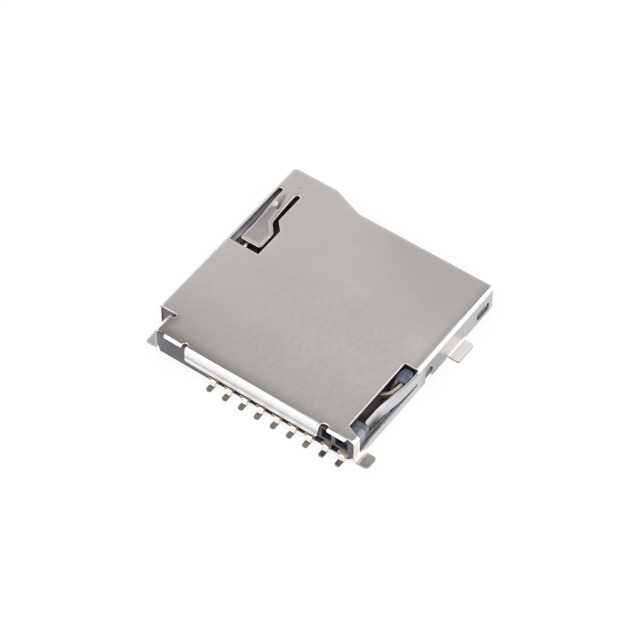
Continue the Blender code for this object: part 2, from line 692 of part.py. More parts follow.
def make_detect_contact(mat):
    """The switch contact: a tail like the others, and a strip on edge along the right wall."""
    x = tails()[-1]
    foot = CONTACT_SHEET / 2
    path = softened([
        (TAIL_END, foot), (HOUSING_REAR - 0.28e-3, foot), (HOUSING_REAR - 0.16e-3, TAIL_LEVEL),
        (OPENING_REAR + BLADE_BACK + 0.18e-3, TAIL_LEVEL),
    ], 0.16e-3)
    half = CONTACT_WIDTH / 2
    mesh = prism("detect_contact", ribbon(path, CONTACT_SHEET), x - half, x + half, "X")
    round_tip(mesh)
    obj = add("detect_contact", mesh, mat)
    combine(obj, boxes("shoulders", [shoulders(x)]), "UNION")
    low = TAIL_LEVEL - CONTACT_SHEET / 2
    edge = INSIDE - CLEAR
    blade_top = RAIL_TOP - BLADE_DOWN
    rear, front = OPENING_REAR + BLADE_BACK, LEVER_TIP_Y - BLADE_SHORT
    web = [(x - CONTACT_WIDTH / 2, rear, 0), (edge, rear, 0), (edge, front), (edge - CONTACT_WIDTH, front),
           (x - CONTACT_WIDTH / 2, rear + 0.5e-3)]
    combine(obj, prism("web", rounded(web), low, low + CONTACT_SHEET), "UNION")
    teeth = []
    count = 5
    step = (front - rear) * 0.6 / count
    for i in range(count):
        base = rear + (front - rear) * 0.3 + step * i
        valley = blade_top - 0.05e-3
        teeth += [(base, blade_top), (base + step * 0.3, valley), (base + step * 0.7, valley)]
    profile = [(rear, low + CONTACT_SHEET / 2), (rear, blade_top)] + teeth + [(front, blade_top),
                                                                           (front, low + CONTACT_SHEET / 2)]
    combine(obj, prism("blade", profile, edge - CONTACT_SHEET, edge, "X"), "UNION")
    shade(obj)
    return obj


def make_lever(mat):
    """The sprung lever that the card's edge pushes aside. Its origin is on its swing axis."""
    path = softened([
        (0.02e-3, 0.42e-3), (0, 0), (0, -0.42 * LEVER_LENGTH), (-0.12e-3, -0.77 * LEVER_LENGTH),
        (LEVER_TIP_X - LEVER_X, LEVER_TIP_Y - LEVER_PIVOT_Y),
    ], 0.25e-3)
    outline = ribbon(path, LEVER_SHEET)
    obj = add("detect_lever", prism("detect_lever", outline, LEVER_BOTTOM, LEVER_TOP), mat,
              (LEVER_X, LEVER_PIVOT_Y, 0))
    shade(obj)
    return obj


def heart():
    """The cam's island: a heart with its notch toward the mouth, about the middle of the cam."""
    lobe = CRANK_SWING * 0.275
    return rounded([
        (0, -0.80e-3, 0.06e-3), (lobe, 0.15e-3, 0.10e-3), (lobe * 0.73, 0.74e-3, 0.05e-3),
        (-lobe * 0.09, 0.50e-3, 0.04e-3), (-lobe * 0.82, 0.66e-3, 0.05e-3), (-lobe * 0.91, 0.10e-3, 0.10e-3),
    ])


def make_slider(mat):
    """The sprung carriage: its arm meets the card's nose, and its cam holds the crank."""
    rear_left = BODY_LEFT_REAR + 0.36e-3
    narrow = SLIT_Y + TRAVEL + 0.12e-3
    right = SLIDER_RIGHT
    pusher = SLIDER_REAR + PUSHER_THICK
    horn_left = -INSIDE + CLEAR
    body = rounded([
        (rear_left, SLIDER_REAR, 0.1e-3), (right, SLIDER_REAR), (right, SLIDER_FRONT, 0.15e-3),
        (horn_left, SLIDER_FRONT, 0.05e-3), (horn_left, SLIDER_FRONT - HORN_THICK),
        (SLIDER_LEFT, SLIDER_FRONT - HORN_THICK, 0.05e-3), (SLIDER_LEFT, narrow, 0.1e-3), (rear_left, narrow),
    ])
    obj = add("slider", prism("slider", body, BAY_FLOOR + CLEAR, SLIDER_TOP), mat)
    root = rear_left + (right - rear_left) * 0.4
    step = SLIDER_REAR + FIT
    block = rounded([
        (rear_left + FIT, step, 0.1e-3), (right - 0.1e-3, step), (right - 0.1e-3, pusher),
        (right - 0.4e-3, pusher), (root, pusher + PUSHER_ROOT, 0.1e-3),
        (rear_left + FIT, pusher + PUSHER_ROOT, 0.1e-3),
    ])
    combine(obj, prism("block", block, BAY_FLOOR + CLEAR * 2, PUSHER_TOP), "UNION")
    arm = rounded([
        (right - 0.3e-3, step + FIT), (PUSHER_RIGHT, step + FIT, 0.08e-3),
        (PUSHER_RIGHT, pusher - FIT, 0.12e-3), (right - 0.3e-3, pusher - FIT),
    ])
    combine(obj, prism("arm", arm, FLOOR + CLEAR, PUSHER_TOP), "UNION")
    horn = boxes("horn", [((horn_left, SLIDER_LEFT - 0.16e-3), (SLIDER_FRONT - HORN_THICK, SLIDER_FRONT),
                           (SLIDER_TOP - 0.1e-3, HORN_TOP))])
    combine(obj, horn, "UNION")
    reach = CAM_REACH
    near, far = CRANK_TIP_Y - reach - 0.05e-3, CRANK_TIP_Y + TRAVEL + reach + 0.14e-3
    pocket = rounded([
        (CRANK_TIP_X - reach, near, 0.1e-3), (CRANK_TIP_X + CRANK_SWING + reach, near, 0.1e-3),
        (CRANK_TIP_X + CRANK_SWING + reach, far, 0.15e-3), (CRANK_TIP_X - reach, far, 0.15e-3),
    ])
    combine(obj, prism("cam", pocket, SLIDER_TOP - CAM_DEPTH, SLIDER_TOP + 0.1e-3))
    island = prism("island", heart(), SLIDER_TOP - CAM_DEPTH - 0.05e-3, SLIDER_TOP)
    island.transform(Matrix.Translation((CRANK_TIP_X + CRANK_SWING / 2, (near + far) / 2, 0)))
    combine(obj, island, "UNION")
    shade(obj)
    return obj


def tube(name, path, wire, mat, place=(0, 0, 0), sides=2):
    """A round wire along a path, with closed ends."""
    curve = bpy.data.curves.new(name, "CURVE")
    curve.dimensions = "3D"
    curve.bevel_depth = wire / 2
    curve.bevel_resolution = sides
    curve.use_fill_caps = True
    spline = curve.splines.new("POLY")
    spline.points.add(len(path) - 1)
    for target, point in zip(spline.points, path):
        target.co = (*point, 1)
    return add(name, curve, mat, place)


def make_coil(mat):
    """The return spring, between the slider's horn and its seat in the housing."""
    radius = (COIL_DIAMETER - COIL_WIRE) / 2
    rear = COIL_SEAT + CLEAR + COIL_WIRE / 2
    front = SLIDER_FRONT - HORN_THICK - CLEAR - COIL_WIRE / 2
    dead = 1.2
    steps = COIL_TURNS * 10
    path = []
    for k in range(steps + 1):
        turn = COIL_TURNS * k / steps
        free = min(max(turn - dead, 0), COIL_TURNS - 2 * dead) / (COIL_TURNS - 2 * dead)
        closed = (min(turn, dead) + max(turn - COIL_TURNS + dead, 0)) * COIL_WIRE * 1.1
        length = front - rear - 2 * dead * COIL_WIRE * 1.1
        angle = 2 * math.pi * turn
        path.append((COIL_X + radius * math.cos(angle), rear + closed + length * free,
                     COIL_Z + radius * math.sin(angle)))
    return tube("coil_spring", path, COIL_WIRE, mat, sides=1)


def make_crank(mat):
    """The bent wire that swings on its leg in the housing, its tip in the slider's cam."""
    tip = Vector((CRANK_TIP_X - CRANK_X, CRANK_TIP_Y - CRANK_Y))
    bend = CRANK_WIRE * 0.55
    length = tip.length
    side = [(0, BAY_FLOOR + 0.25e-3), (0, CRANK_Z - bend)]
    side += [(bend - bend * math.cos(a), CRANK_Z - bend + bend * math.sin(a)) for a in (0.5, 1.05)]
    side += [(bend, CRANK_Z), (length - bend, CRANK_Z)]
    side += [(length - bend + bend * math.sin(a), CRANK_Z - bend + bend * math.cos(a)) for a in (0.5, 1.05)]
    side += [(length, CRANK_Z - bend), (length, SLIDER_TOP - CAM_DEPTH + CLEAR)]
    along = tip.normalized()
    return tube("crank_pin", [(along.x * d, along.y * d, z) for d, z in side], CRANK_WIRE, mat,
                (CRANK_X, CRANK_Y, 0))


def housing_outline():
    """The moulded body seen from above, inside the shell's walls."""
    front_left = MOUTH_LEFT_Y - MOUTH_LEDGE
    return rounded([
        (BODY_LEFT_REAR, REAR_FACE_IN - 0.1e-3), (INSIDE, REAR_FACE_IN - 0.1e-3),
        (INSIDE, HOUSING_MOUTH, 0.15e-3), (MOUTH_STEP_RIGHT, HOUSING_MOUTH, 0.4e-3),
        (MOUTH_STEP_LEFT, front_left, 0.4e-3), (-INSIDE, front_left, 0.3e-3),
        (-INSIDE, SLIT_Y + 0.04e-3), (BODY_LEFT_REAR, SLIT_Y + 0.04e-3),
    ])


def make_housing(mat):
    """The moulded body: floor, rear wall, mechanism bay and the seats of all the other pieces."""
    obj = add("housing", prism("housing", housing_outline(), 0, CEILING), mat)
    chamfer = EDGE_CHAMFER
    rear_bar = [
        (BODY_LEFT_REAR + CORNER_WIDE, 0), (INSIDE - chamfer, 0), (INSIDE, chamfer), (INSIDE, CEILING),
        (BODY_LEFT_REAR, CEILING), (BODY_LEFT_REAR, CORNER_HIGH),
    ]
    combine(obj, prism("rear_bar", rear_bar, HOUSING_REAR, REAR_FACE_IN, "Y"), "UNION")
    over = HEIGHT
    beyond = MOUTH_Y + 2 * MOUTH_STEP
    far = HALF + SHEET
    bay_left = BODY_LEFT_REAR + 0.33e-3
    coil_right = SLIDER_LEFT - CLEAR
    bay_front = SLIDER_FRONT + 0.1e-3
    crank_front = CRANK_Y + 0.35e-3
    combine(obj, boxes("card_space", [((CARD_LEFT, SLOT_RIGHT), (REAR_FACE_IN, beyond), (FLOOR, over))]))
    combine(obj, prism("bay", rounded([
        (bay_left, REAR_FACE_IN), (CARD_LEFT + CLEAR, REAR_FACE_IN), (CARD_LEFT + CLEAR, bay_front),
        (-far, bay_front), (-far, COIL_SEAT), (coil_right, COIL_SEAT), (coil_right, SLIT_Y + 0.1e-3),
        (bay_left, SLIT_Y + 0.1e-3),
    ]), BAY_FLOOR, over))
    combine(obj, boxes("crank_shelf", [((-far, CARD_LEFT + CLEAR), (bay_front - 0.1e-3, crank_front),
                                        (SLIDER_TOP, over))]))
    hood_right = TONGUE_LEFT - CLEAR
    hood_front = TONGUE_TIP + HOOD_AHEAD
    hood = [
        (-INSIDE, COIL_SEAT - 0.1e-3), (hood_right, COIL_SEAT - 0.1e-3),
        (hood_right, hood_front - HOOD_SLANT), (-INSIDE, hood_front),
    ]
    combine(obj, prism("hood", hood, HOOD_UNDER, HOOD_UNDER + HOOD_THICK), "UNION")
    reach = (CRANK_WIRE / 2 + FIT) * 1.08
    pivot = rounded([(CRANK_X + a * reach, CRANK_Y + b * reach, CRANK_WIRE * 0.55)
                     for a, b in ((-1, -1), (1, -1), (1, 1), (-1, 1))], 3)
    combine(obj, prism("pivot_hole", pivot, BAY_FLOOR + 0.2e-3, over))
    combine(obj, prism("channel", rounded([
        (SLOT_RIGHT + 0.12e-3, SLIT_Y + 0.05e-3), (far, SLIT_Y + 0.05e-3), (far, OPENING_FRONT + 0.3e-3),
        (SLOT_RIGHT + 0.12e-3, OPENING_FRONT + 0.3e-3, 0.1e-3),
    ]), CHANNEL_FLOOR, over))
    beside = SLOT_RIGHT - 0.1e-3, far
    rim = beside, (SLIT_Y + 0.05e-3, OPENING_FRONT + 0.3e-3), (RIB_TOP, over)
    combine(obj, boxes("channel_rim", [rim]))
    rear_top = beside, (OPENING_REAR - 0.1e-3, SLIT_Y + 0.2e-3), (BLOCK_TOP, over)
    combine(obj, boxes("rear_block_top", [rear_top]))
    block = rounded([
        (SLOT_RIGHT + 0.01e-3, LEVER_PIVOT_Y - 0.18e-3, 0.1e-3),
        (LEVER_X + 0.2e-3, LEVER_PIVOT_Y - 0.18e-3, 0.08e-3),
        (LEVER_X + 0.2e-3, LEVER_PIVOT_Y + 0.72e-3, 0.25e-3),
        (SLOT_RIGHT + 0.01e-3, LEVER_PIVOT_Y + 0.72e-3, 0.25e-3),
    ])
    combine(obj, prism("lever_block", block, CHANNEL_FLOOR - 0.1e-3, BLOCK_TOP), "UNION")
    gap = LEVER_SHEET / 2 + 0.07e-3
    combine(obj, boxes("lever_slot", [((LEVER_X - gap, LEVER_X + gap),
                                       (LEVER_PIVOT_Y - 0.4e-3, LEVER_PIVOT_Y + 0.5e-3),
                                       (LEVER_BOTTOM - FIT, LEVER_TOP + FIT))]))
    half = CONTACT_WIDTH / 2 + FIT
    level = TAIL_LEVEL - CONTACT_SHEET / 2 - FIT, TAIL_LEVEL + CONTACT_SHEET / 2 + FIT
    through = HOUSING_REAR - 0.5e-3, WELL_REAR + 0.1e-3
    combine(obj, boxes("tail_slots", [((x - half, x + half), through, level) for x in tails()]))
    last = tails()[-1]
    blade_way = (last - half, last + half), (WELL_REAR, SLIT_Y + 0.2e-3), level
    combine(obj, boxes("detect_slot", [blade_way]))
    seats = []
    for x in tails():
        (x0, x1), (y0, y1), (z0, z1) = shoulders(x)
        seats.append(((x0 - FIT, x1 + FIT), (y0, y1 + FIT), (z0 - FIT, z1 + FIT)))
    combine(obj, boxes("shoulder_seats", seats))
    rib = half + HOLLOW_RIB
    inward = HOUSING_REAR - 0.1e-3, HOUSING_REAR + HOLLOW_DEPTH
    combine(obj, boxes("hollows", [((x + rib, x + PITCH - rib), inward, (HOLLOW_SILL, HOLLOW_TOP))
                                   for x in tails()[:-1]]))
    well = WELL_WIDTH / 2
    combine(obj, boxes("wells", [((x - well, x + well), (WELL_REAR, WELL_FRONT), (-0.1e-3, over))
                                 for x in tails()[:-1]]))
    pocket = POCKET_WIDTH / 2
    combine(obj, boxes("pockets", [((x - POCKET_ASIDE - pocket, x - POCKET_ASIDE + pocket),
                                    (HOUSING_REAR - 0.1e-3, REAR_FACE_IN + 0.1e-3), (FLOOR, BLOCK_TOP))
                                   for x in tails()[:-1]]))
    last_pocket = (last - 0.62e-3, last + 0.2e-3), (HOUSING_REAR - 0.1e-3, REAR_FACE_IN), (FLOOR, BLOCK_TOP)
    combine(obj, boxes("last_pocket", [last_pocket]))
    ramp = [(HOUSING_MOUTH - LEAD_IN, FLOOR + 0.01e-3), (HOUSING_MOUTH + 0.1e-3, FLOOR - LEAD_IN),
            (HOUSING_MOUTH + 0.1e-3, FLOOR + 0.01e-3)]
    combine(obj, prism("lead_in", ramp, MOUTH_STEP_RIGHT, SLOT_RIGHT, "X"))
    catch = CATCH_LENGTH / 2 - LUG_PLAY
    low, high = CATCH_Z - CATCH_HEIGHT / 2 + 0.05e-3, CATCH_Z + CATCH_HEIGHT / 2 - 0.05e-3
    lug = INSIDE + CLEAR + LUG
    for side, centre in ((1, CATCH_Y), (-1, CATCH_Y + MOUTH_STEP)):
        ends = rounded([(centre - catch, low, 0.17e-3), (centre + catch, low, 0.17e-3),
                        (centre + catch, high, 0.17e-3), (centre - catch, high, 0.17e-3)])
        combine(obj, prism("lug", ends, *sorted((side * (INSIDE - 0.2e-3), side * lug)), "X"), "UNION")
    half, top, foot = NOTCH_WIDTH / 2 - 0.06e-3, NOTCH_TOP - LUG_PLAY, WALL_BOTTOM + LUG_PLAY
    peg = rounded([(NOTCH_Y - half, foot, half * 0.5), (NOTCH_Y + half, foot, half * 0.5),
                   (NOTCH_Y + half, top, half * 0.95), (NOTCH_Y - half, top, half * 0.95)])
    combine(obj, prism("peg", peg, INSIDE - 0.2e-3, lug, "X"), "UNION")
    shade(obj)
    return obj


def build():
    """Makes every piece of the socket."""
    for obj in list(bpy.data.objects):
        bpy.data.objects.remove(obj, do_unlink=True)
    steel = material("shell_steel", (0.47, 0.44, 0.42), 1.0, 0.32)
    resin = material("housing_resin", (0.05, 0.05, 0.055), 0.0, 0.5)
    plating = material("contact_plating", (0.62, 0.55, 0.42), 1.0, 0.3)
    gold = material("lever_gold", (0.70, 0.55, 0.30), 1.0, 0.3)
    carriage = material("slider_resin", (0.09, 0.10, 0.12), 0.0, 0.5)
    wire = material("spring_steel", (0.45, 0.46, 0.48), 1.0, 0.3)
    make_shell(steel)
    make_housing(resin)
    mesh = contact_mesh(plating)
    for number, x in enumerate(tails()[:-1], 1):
        make_contact(f"contact_{number}", mesh, x)
    make_detect_contact(plating.copy())
    make_lever(gold)
    make_slider(carriage)
    make_coil(wire)
    make_crank(wire.copy())


build()
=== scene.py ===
"""Looks of a push-push card socket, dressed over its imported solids.

X runs across the socket, +Y toward the mouth where the card goes in, and Z up from the board.
"""
import math

import bmesh
import bpy
import numpy as np
from mathutils import Matrix, Vector
from mathutils.bvhtree import BVHTree
from mathutils.geometry import delaunay_2d_cdt


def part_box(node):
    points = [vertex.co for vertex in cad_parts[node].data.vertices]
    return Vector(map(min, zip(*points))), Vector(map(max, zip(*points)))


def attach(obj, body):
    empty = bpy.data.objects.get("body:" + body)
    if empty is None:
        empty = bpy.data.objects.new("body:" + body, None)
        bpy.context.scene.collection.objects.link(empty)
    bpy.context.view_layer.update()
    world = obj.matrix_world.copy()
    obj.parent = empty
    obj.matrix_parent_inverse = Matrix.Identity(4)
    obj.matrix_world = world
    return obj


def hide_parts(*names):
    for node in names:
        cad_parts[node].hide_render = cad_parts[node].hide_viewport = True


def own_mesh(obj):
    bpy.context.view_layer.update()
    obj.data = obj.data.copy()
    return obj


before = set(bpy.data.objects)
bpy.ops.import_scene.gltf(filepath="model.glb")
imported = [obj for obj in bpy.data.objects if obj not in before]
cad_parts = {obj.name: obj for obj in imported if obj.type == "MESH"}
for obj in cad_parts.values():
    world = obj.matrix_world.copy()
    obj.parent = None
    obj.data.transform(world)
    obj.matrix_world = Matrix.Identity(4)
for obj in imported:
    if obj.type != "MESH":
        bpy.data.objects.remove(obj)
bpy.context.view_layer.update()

# Housing
# The moulded floor, rear wall and mechanism bay that hold all the other pieces. Glass-filled
# liquid-crystal polymer, shot in one go: dark grey, fine grained, a little paler where it flowed
# thin. The shell's slots snap over its lugs.
MM = 1e-3


def linear(code):
    """A hex colour in sRGB as linear red, green and blue."""
    parts = [int(code[i:i + 2], 16) / 255 for i in (1, 3, 5)]
    return tuple(c / 12.92 if c <= 0.04045 else ((c + 0.055) / 1.055) ** 2.4 for c in parts)


def add_node(tree, kind, settings=None, links=None):
    """Adds a node with its settings and its incoming links. A setting is an input or a property."""
    new = tree.nodes.new(kind)
    for key, value in (settings or {}).items():
        if isinstance(key, int):
            new.inputs[key].default_value = value
        elif hasattr(new, key):
            setattr(new, key, value)
        else:
            new.inputs[key].default_value = value
    for key, source in (links or {}).items():
        tree.links.new(source, new.inputs[key])
    return new


def ramp_of(tree, source, stops):
    """A colour ramp with its (place, hex colour) stops, fed by the source."""
    ramp = add_node(tree, "ShaderNodeValToRGB", links={"Fac": source})
    band = ramp.color_ramp
    while len(band.elements) < len(stops):
        band.elements.new(0.5)
    for stop, (place, code) in zip(band.elements, stops):
        stop.position = place
        stop.color = (*linear(code), 1)
    return ramp.outputs["Color"]


def surface(name, metallic, roughness, ior=None):
    """A material with its node tree, its Principled shader and object coordinates in millimetres."""
    mat = bpy.data.materials.new(name)
    mat.use_nodes = True
    tree = mat.node_tree
    shader = tree.nodes["Principled BSDF"]
    shader.inputs["Metallic"].default_value = metallic
    shader.inputs["Roughness"].default_value = roughness
    if ior:
        shader.inputs["IOR"].default_value = ior
    place = add_node(tree, "ShaderNodeTexCoord")
    scaled = add_node(tree, "ShaderNodeVectorMath", {"operation": "SCALE", "Scale": 1000.0},
                      {0: place.outputs["Object"]})
    return mat, tree, shader, scaled.outputs[0]


def noise_of(tree, mm, size, detail=3.0, stretch=(1, 1, 1)):
    """Noise whose patches are about this many millimetres across."""
    vector = mm
    if stretch != (1, 1, 1):
        vector = add_node(tree, "ShaderNodeMapping", {"Scale": stretch}, {"Vector": mm}).outputs[0]
    noise = add_node(tree, "ShaderNodeTexNoise", {"Scale": 1.0 / size, "Detail": detail},
                     {"Vector": vector})
    return noise.outputs["Fac"]


def spread(tree, source, low, high, to_low, to_high):
    """Maps a value from one span to another, smoothly and clamped."""
    return add_node(tree, "ShaderNodeMapRange",
                    {"interpolation_type": "SMOOTHSTEP", 1: low, 2: high, 3: to_low, 4: to_high},
                    {0: source}).outputs[0]


def blend_colour(tree, factor, first, second):
    """Mixes two colours, each a socket or a hex code."""
    mix = add_node(tree, "ShaderNodeMix", {"data_type": "RGBA", "blend_type": "MIX"})
    tree.links.new(factor, mix.inputs[0])
    for slot, colour in ((6, first), (7, second)):
        if isinstance(colour, str):
            mix.inputs[slot].default_value = (*linear(colour), 1)
        else:
            tree.links.new(colour, mix.inputs[slot])
    return mix.outputs[2]


def combine(tree, operation, result, *others):
    """Several values in one, with the same arithmetic between each."""
    for other in others:
        step = add_node(tree, "ShaderNodeMath", {"operation": operation}, {0: result, 1: other})
        result = step.outputs[0]
    return result


def product(tree, *factors):
    """The product of several values."""
    return combine(tree, "MULTIPLY", *factors)


def zone(tree, *bands):
    """A soft mask, the product of its bands, each a value, where it is off and where it is on."""
    masks = []
    for source, off, on in bands:
        ends = (0.0, 1.0) if off < on else (1.0, 0.0)
        masks.append(spread(tree, source, min(off, on), max(off, on), *ends))
    return product(tree, *masks)


def layered(tree, base, *coats):
    """Lays coats over a base colour, each a mask and a colour."""
    for mask, colour in coats:
        base = blend_colour(tree, mask, base, colour)
    return base


def raise_grain(tree, shader, sources):
    """Bumps from (height, depth in millimetres) pairs, one after the other."""
    normal = None
    for height, depth in sources:
        bump = add_node(tree, "ShaderNodeBump", {"Strength": 0.3, "Distance": depth * MM},
                        {"Height": height})
        if normal:
            tree.links.new(normal, bump.inputs["Normal"])
        normal = bump.outputs["Normal"]
    tree.links.new(normal, shader.inputs["Normal"])


def place_object(name, data):
    """A new object in the scene."""
    new = bpy.data.objects.new(name, data)
    bpy.context.scene.collection.objects.link(new)
    return new


def worn_copy(node, name, width, segments=2, angle=35, swell=0):
    """A merged copy of a solid's mesh as a new piece, with edges sharper than the angle rounded.

    The width of the rounding and the swelling in plan are in millimetres.
    """
    mesh = bpy.data.meshes.new(name)
    bm = bmesh.new()
    bm.from_mesh(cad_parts[node].data)
    bmesh.ops.remove_doubles(bm, verts=bm.verts, dist=1e-7)
    bmesh.ops.dissolve_limit(bm, angle_limit=math.radians(2), verts=bm.verts, edges=bm.edges)
    for vert in bm.verts if swell else ():
        vert.co.xy += Vector(vert.normal.xy).normalized() * swell * MM
    sharp = [e for e in bm.edges
             if len(e.link_faces) == 2 and e.calc_face_angle() > math.radians(angle)]
    bmesh.ops.bevel(bm, geom=sharp, offset=width * MM, segments=segments, profile=0.6,
                    affect="EDGES", clamp_overlap=True)
    bmesh.ops.triangulate(bm, faces=[f for f in bm.faces if len(f.verts) > 4])
    bm.to_mesh(mesh)
    bm.free()
    mesh.shade_smooth()
    mesh.set_sharp_from_angle(angle=math.radians(50))
    return place_object(name, mesh)


housing_resin, tree, shader, mm = surface("moulded_lcp_dark_grey", 0.0, 0.5, 1.6)
x_mm, y_mm, z_mm = add_node(tree, "ShaderNodeSeparateXYZ", links={0: mm}).outputs
outward = add_node(tree, "ShaderNodeMath", {"operation": "ABSOLUTE"}, {0: x_mm}).outputs[0]
flow = noise_of(tree, mm, 1.6, 4.0, (1, 0.35, 1))
grit = noise_of(tree, mm, 0.06, 2.0)
marble = ramp_of(tree, noise_of(tree, mm, 0.3, 3.0),
                 [(0.35, "#4C525E"), (0.58, "#636B79"), (0.72, "#8A92A0")])
# On the switch side the resin met a polished part of the mould: marbled, with painted shade in the
# trough, a band of painted light on the card's track beside it, and a painted highlight on one
# corner of the rear block.
polished = zone(tree, (x_mm, 6.0, 6.3), (y_mm, -5.95, -5.85), (y_mm, -0.4, -0.7))
trough_shade = product(tree, polished, zone(tree, (y_mm, -4.75, -4.6), (z_mm, 1.4, 1.2)))
track_light = zone(tree, (x_mm, 5.85, 5.95), (x_mm, 6.36, 6.28), (y_mm, -4.2, -3.9), (y_mm, -1.9, -2.3),
             (z_mm, 0.95, 0.8))
corner = product(tree, polished, zone(tree, (y_mm, -5.26, -5.46), (x_mm, 6.80, 6.95)),
                 spread(tree, z_mm, 0.6, 1.4, 0.3, 1.0))
# At the rear, painted shade in the hollows between the tails, brownish where it stands for reflected
# gold, and near-black painted shade in the two pockets. On the left, the mechanism's bay, with
# painted light toward the rear and painted shade, darkest at the mouth. On both sides, the lugs.
hollow_shade = zone(tree, (y_mm, -6.56, -6.52), (y_mm, -5.7, -5.8), (z_mm, 0.66, 0.62))
pocket_shade = zone(tree, (y_mm, -6.56, -6.50), (y_mm, -6.0, -6.1), (x_mm, 4.8, 4.9))
bay = zone(tree, (x_mm, -6.3, -6.5), (y_mm, -4.9, -4.7), (z_mm, 1.0, 1.3))
bay_light_and_shade = blend_colour(tree, zone(tree, (y_mm, 1.9, 2.9)), "#9A9A9C", "#6B707B")
bay_light_and_shade = blend_colour(tree, zone(tree, (y_mm, 4.9, 5.9)), bay_light_and_shade, "#3E4046")
lugs = zone(tree, (outward, 7.13, 7.16))
# The painted shade and light of the masks above go over the resin's own tone here.
tone = layered(
    tree, ramp_of(tree, flow, [(0.3, "#48484D"), (0.55, "#535359"), (0.8, "#606067")]),
    (polished, marble), (trough_shade, ramp_of(tree, flow, [(0.3, "#353130"), (0.8, "#57514F")])),
    (track_light, "#7C7671"), (corner, "#A0A4AC"), (hollow_shade, "#4C4743"), (bay, bay_light_and_shade),
    (pocket_shade, "#1D1E24"), (lugs, "#66656B"), (spread(tree, grit, 0.45, 0.75, 0.0, 0.22), "#7A7A80"))
tree.links.new(tone, shader.inputs["Base Color"])
tree.links.new(spread(tree, grit, 0.2, 0.8, 0.42, 0.62), shader.inputs["Roughness"])
raise_grain(tree, shader, [(grit, 0.006), (flow, 0.01)])
housing = worn_copy("housing", "moulded_body", 0.02, 2, 30)
bm = bmesh.new()
bm.from_mesh(housing.data)
# Two small forms that only this piece has: the ledge beside the lever, whose top slopes down to the
# rear, and the bar over the return spring. Each is a plan, its lower level and each corner's top.
ledge = ([(6.37, -1.36), (6.37, -2.05), (6.54, -2.0), (6.60, -1.36)], 0.3,
         (1.44, 1.14, 1.16, 1.44))
spring_bar = ([(-7.10, 1.30), (-6.81, 1.75), (-6.81, 6.10), (-7.10, 6.10)], 1.33,
              (1.47, 1.47, 1.50, 1.54))
for plan, low, tops in (ledge, spring_bar):
    lower, upper = [[bm.verts.new((x * MM, y * MM, z * MM)) for (x, y), z in zip(plan, level)]
                    for level in ((low,) * 4, tops)]
    block = [bm.faces.new(lower[::-1]), bm.faces.new(upper)]
    block += [bm.faces.new([lower[i - 1], lower[i], upper[i], upper[i - 1]]) for i in range(4)]
    bmesh.ops.recalc_face_normals(bm, faces=block)
    bmesh.ops.bevel(bm, geom=list({e for f in block for e in f.edges}), offset=0.03 * MM, segments=2,
                    profile=0.6, affect="EDGES", clamp_overlap=True)
bm.to_mesh(housing.data)
bm.free()
housing.data.shade_smooth()
housing.data.set_sharp_from_angle(angle=math.radians(50))
housing.data.materials.append(housing_resin)
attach(housing, "base")
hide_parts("housing")

# Contacts
# Eight card contacts stamped from copper alloy strip, nickel under a gold flash inside the socket
# and tin on the solder tails. They are pressed through the rear wall, their sprung tips free.
def plated(tree, mm, smear, inner):
    """Dull tin on a contact's foot, bright tin on its step, gold shoulders with painted shade low on
    them, then the inner tone.
    """
    _, y_mm, z_mm = add_node(tree, "ShaderNodeSeparateXYZ", links={0: mm}).outputs
    foot = ramp_of(tree, smear, [(0.3, "#74746D"), (0.7, "#8B8B83")])
    step = ramp_of(tree, smear, [(0.3, "#DAD6CE"), (0.7, "#EEEBE5")])
    gold = ramp_of(tree, smear, [(0.3, "#E9D9BC"), (0.7, "#F6ECDB")])
    # Painted shade: the shoulders turn brown below their top edge.
    shaded_shoulder = blend_colour(tree, zone(tree, (z_mm, 0.435, 0.415)), gold, "#A08262")
    return layered(tree, foot, (zone(tree, (z_mm, 0.125, 0.16)), step),
                   (zone(tree, (y_mm, -6.80, -6.74)), shaded_shoulder),
                   (zone(tree, (y_mm, -6.50, -6.40)), inner))


contact_plating, tree, shader, mm = surface("plated_contact_strip", 1.0, 0.3)
smear = noise_of(tree, mm, 0.25, 3.0)
scratch = noise_of(tree, mm, 0.03, 2.0, (1, 0.15, 1))
tone = plated(tree, mm, smear, ramp_of(tree, smear, [(0.3, "#B08A4E"), (0.7, "#D9B778")]))
tree.links.new(tone, shader.inputs["Base Color"])
tree.links.new(spread(tree, smear, 0.3, 0.7, 0.22, 0.36), shader.inputs["Roughness"])
raise_grain(tree, shader, [(scratch, 0.002)])
# The shoulders beside each tail, which stop the strip at the rear wall, come down by this much.
shoulder_drop = 0.14 * MM
for number in range(1, 9):
    contact = worn_copy(f"contact_{number}", f"spring_contact_{number}", 0.018)
    tail = np.mean([vert.co.x for vert in contact.data.vertices if vert.co.y < -6.85 * MM])
    for vert in contact.data.vertices:
        beside = abs(vert.co.x - tail) > 0.2 * MM
        if beside and vert.co.z < 0.4 * MM and -6.8 * MM < vert.co.y < -6.3 * MM:
            vert.co.z -= shoulder_drop
    contact.data.materials.append(contact_plating)
    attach(contact, "base")
    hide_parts(f"contact_{number}")

# Switch contact
# The ninth tail runs on as a strip on edge beside the lever, with a row of coined teeth. It is
# nickel plated strip, so it looks blue grey in the shade of the shell's leaf.
switch_nickel, tree, shader, mm = surface("nickel_plated_strip", 0.7, 0.42)
smear = noise_of(tree, mm, 0.25, 3.0)
tone = plated(tree, mm, smear, ramp_of(tree, smear, [(0.3, "#A4ACBA"), (0.7, "#CBD3DE")]))
tree.links.new(tone, shader.inputs["Base Color"])
tree.links.new(spread(tree, smear, 0.3, 0.7, 0.26, 0.4), shader.inputs["Roughness"])
raise_grain(tree, shader, [(noise_of(tree, mm, 0.04, 2.0), 0.002)])
detect_contact = worn_copy("detect_contact", "switch_contact", 0.015)
detect_contact.data.materials.append(switch_nickel)
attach(detect_contact, "base")
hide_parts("detect_contact")

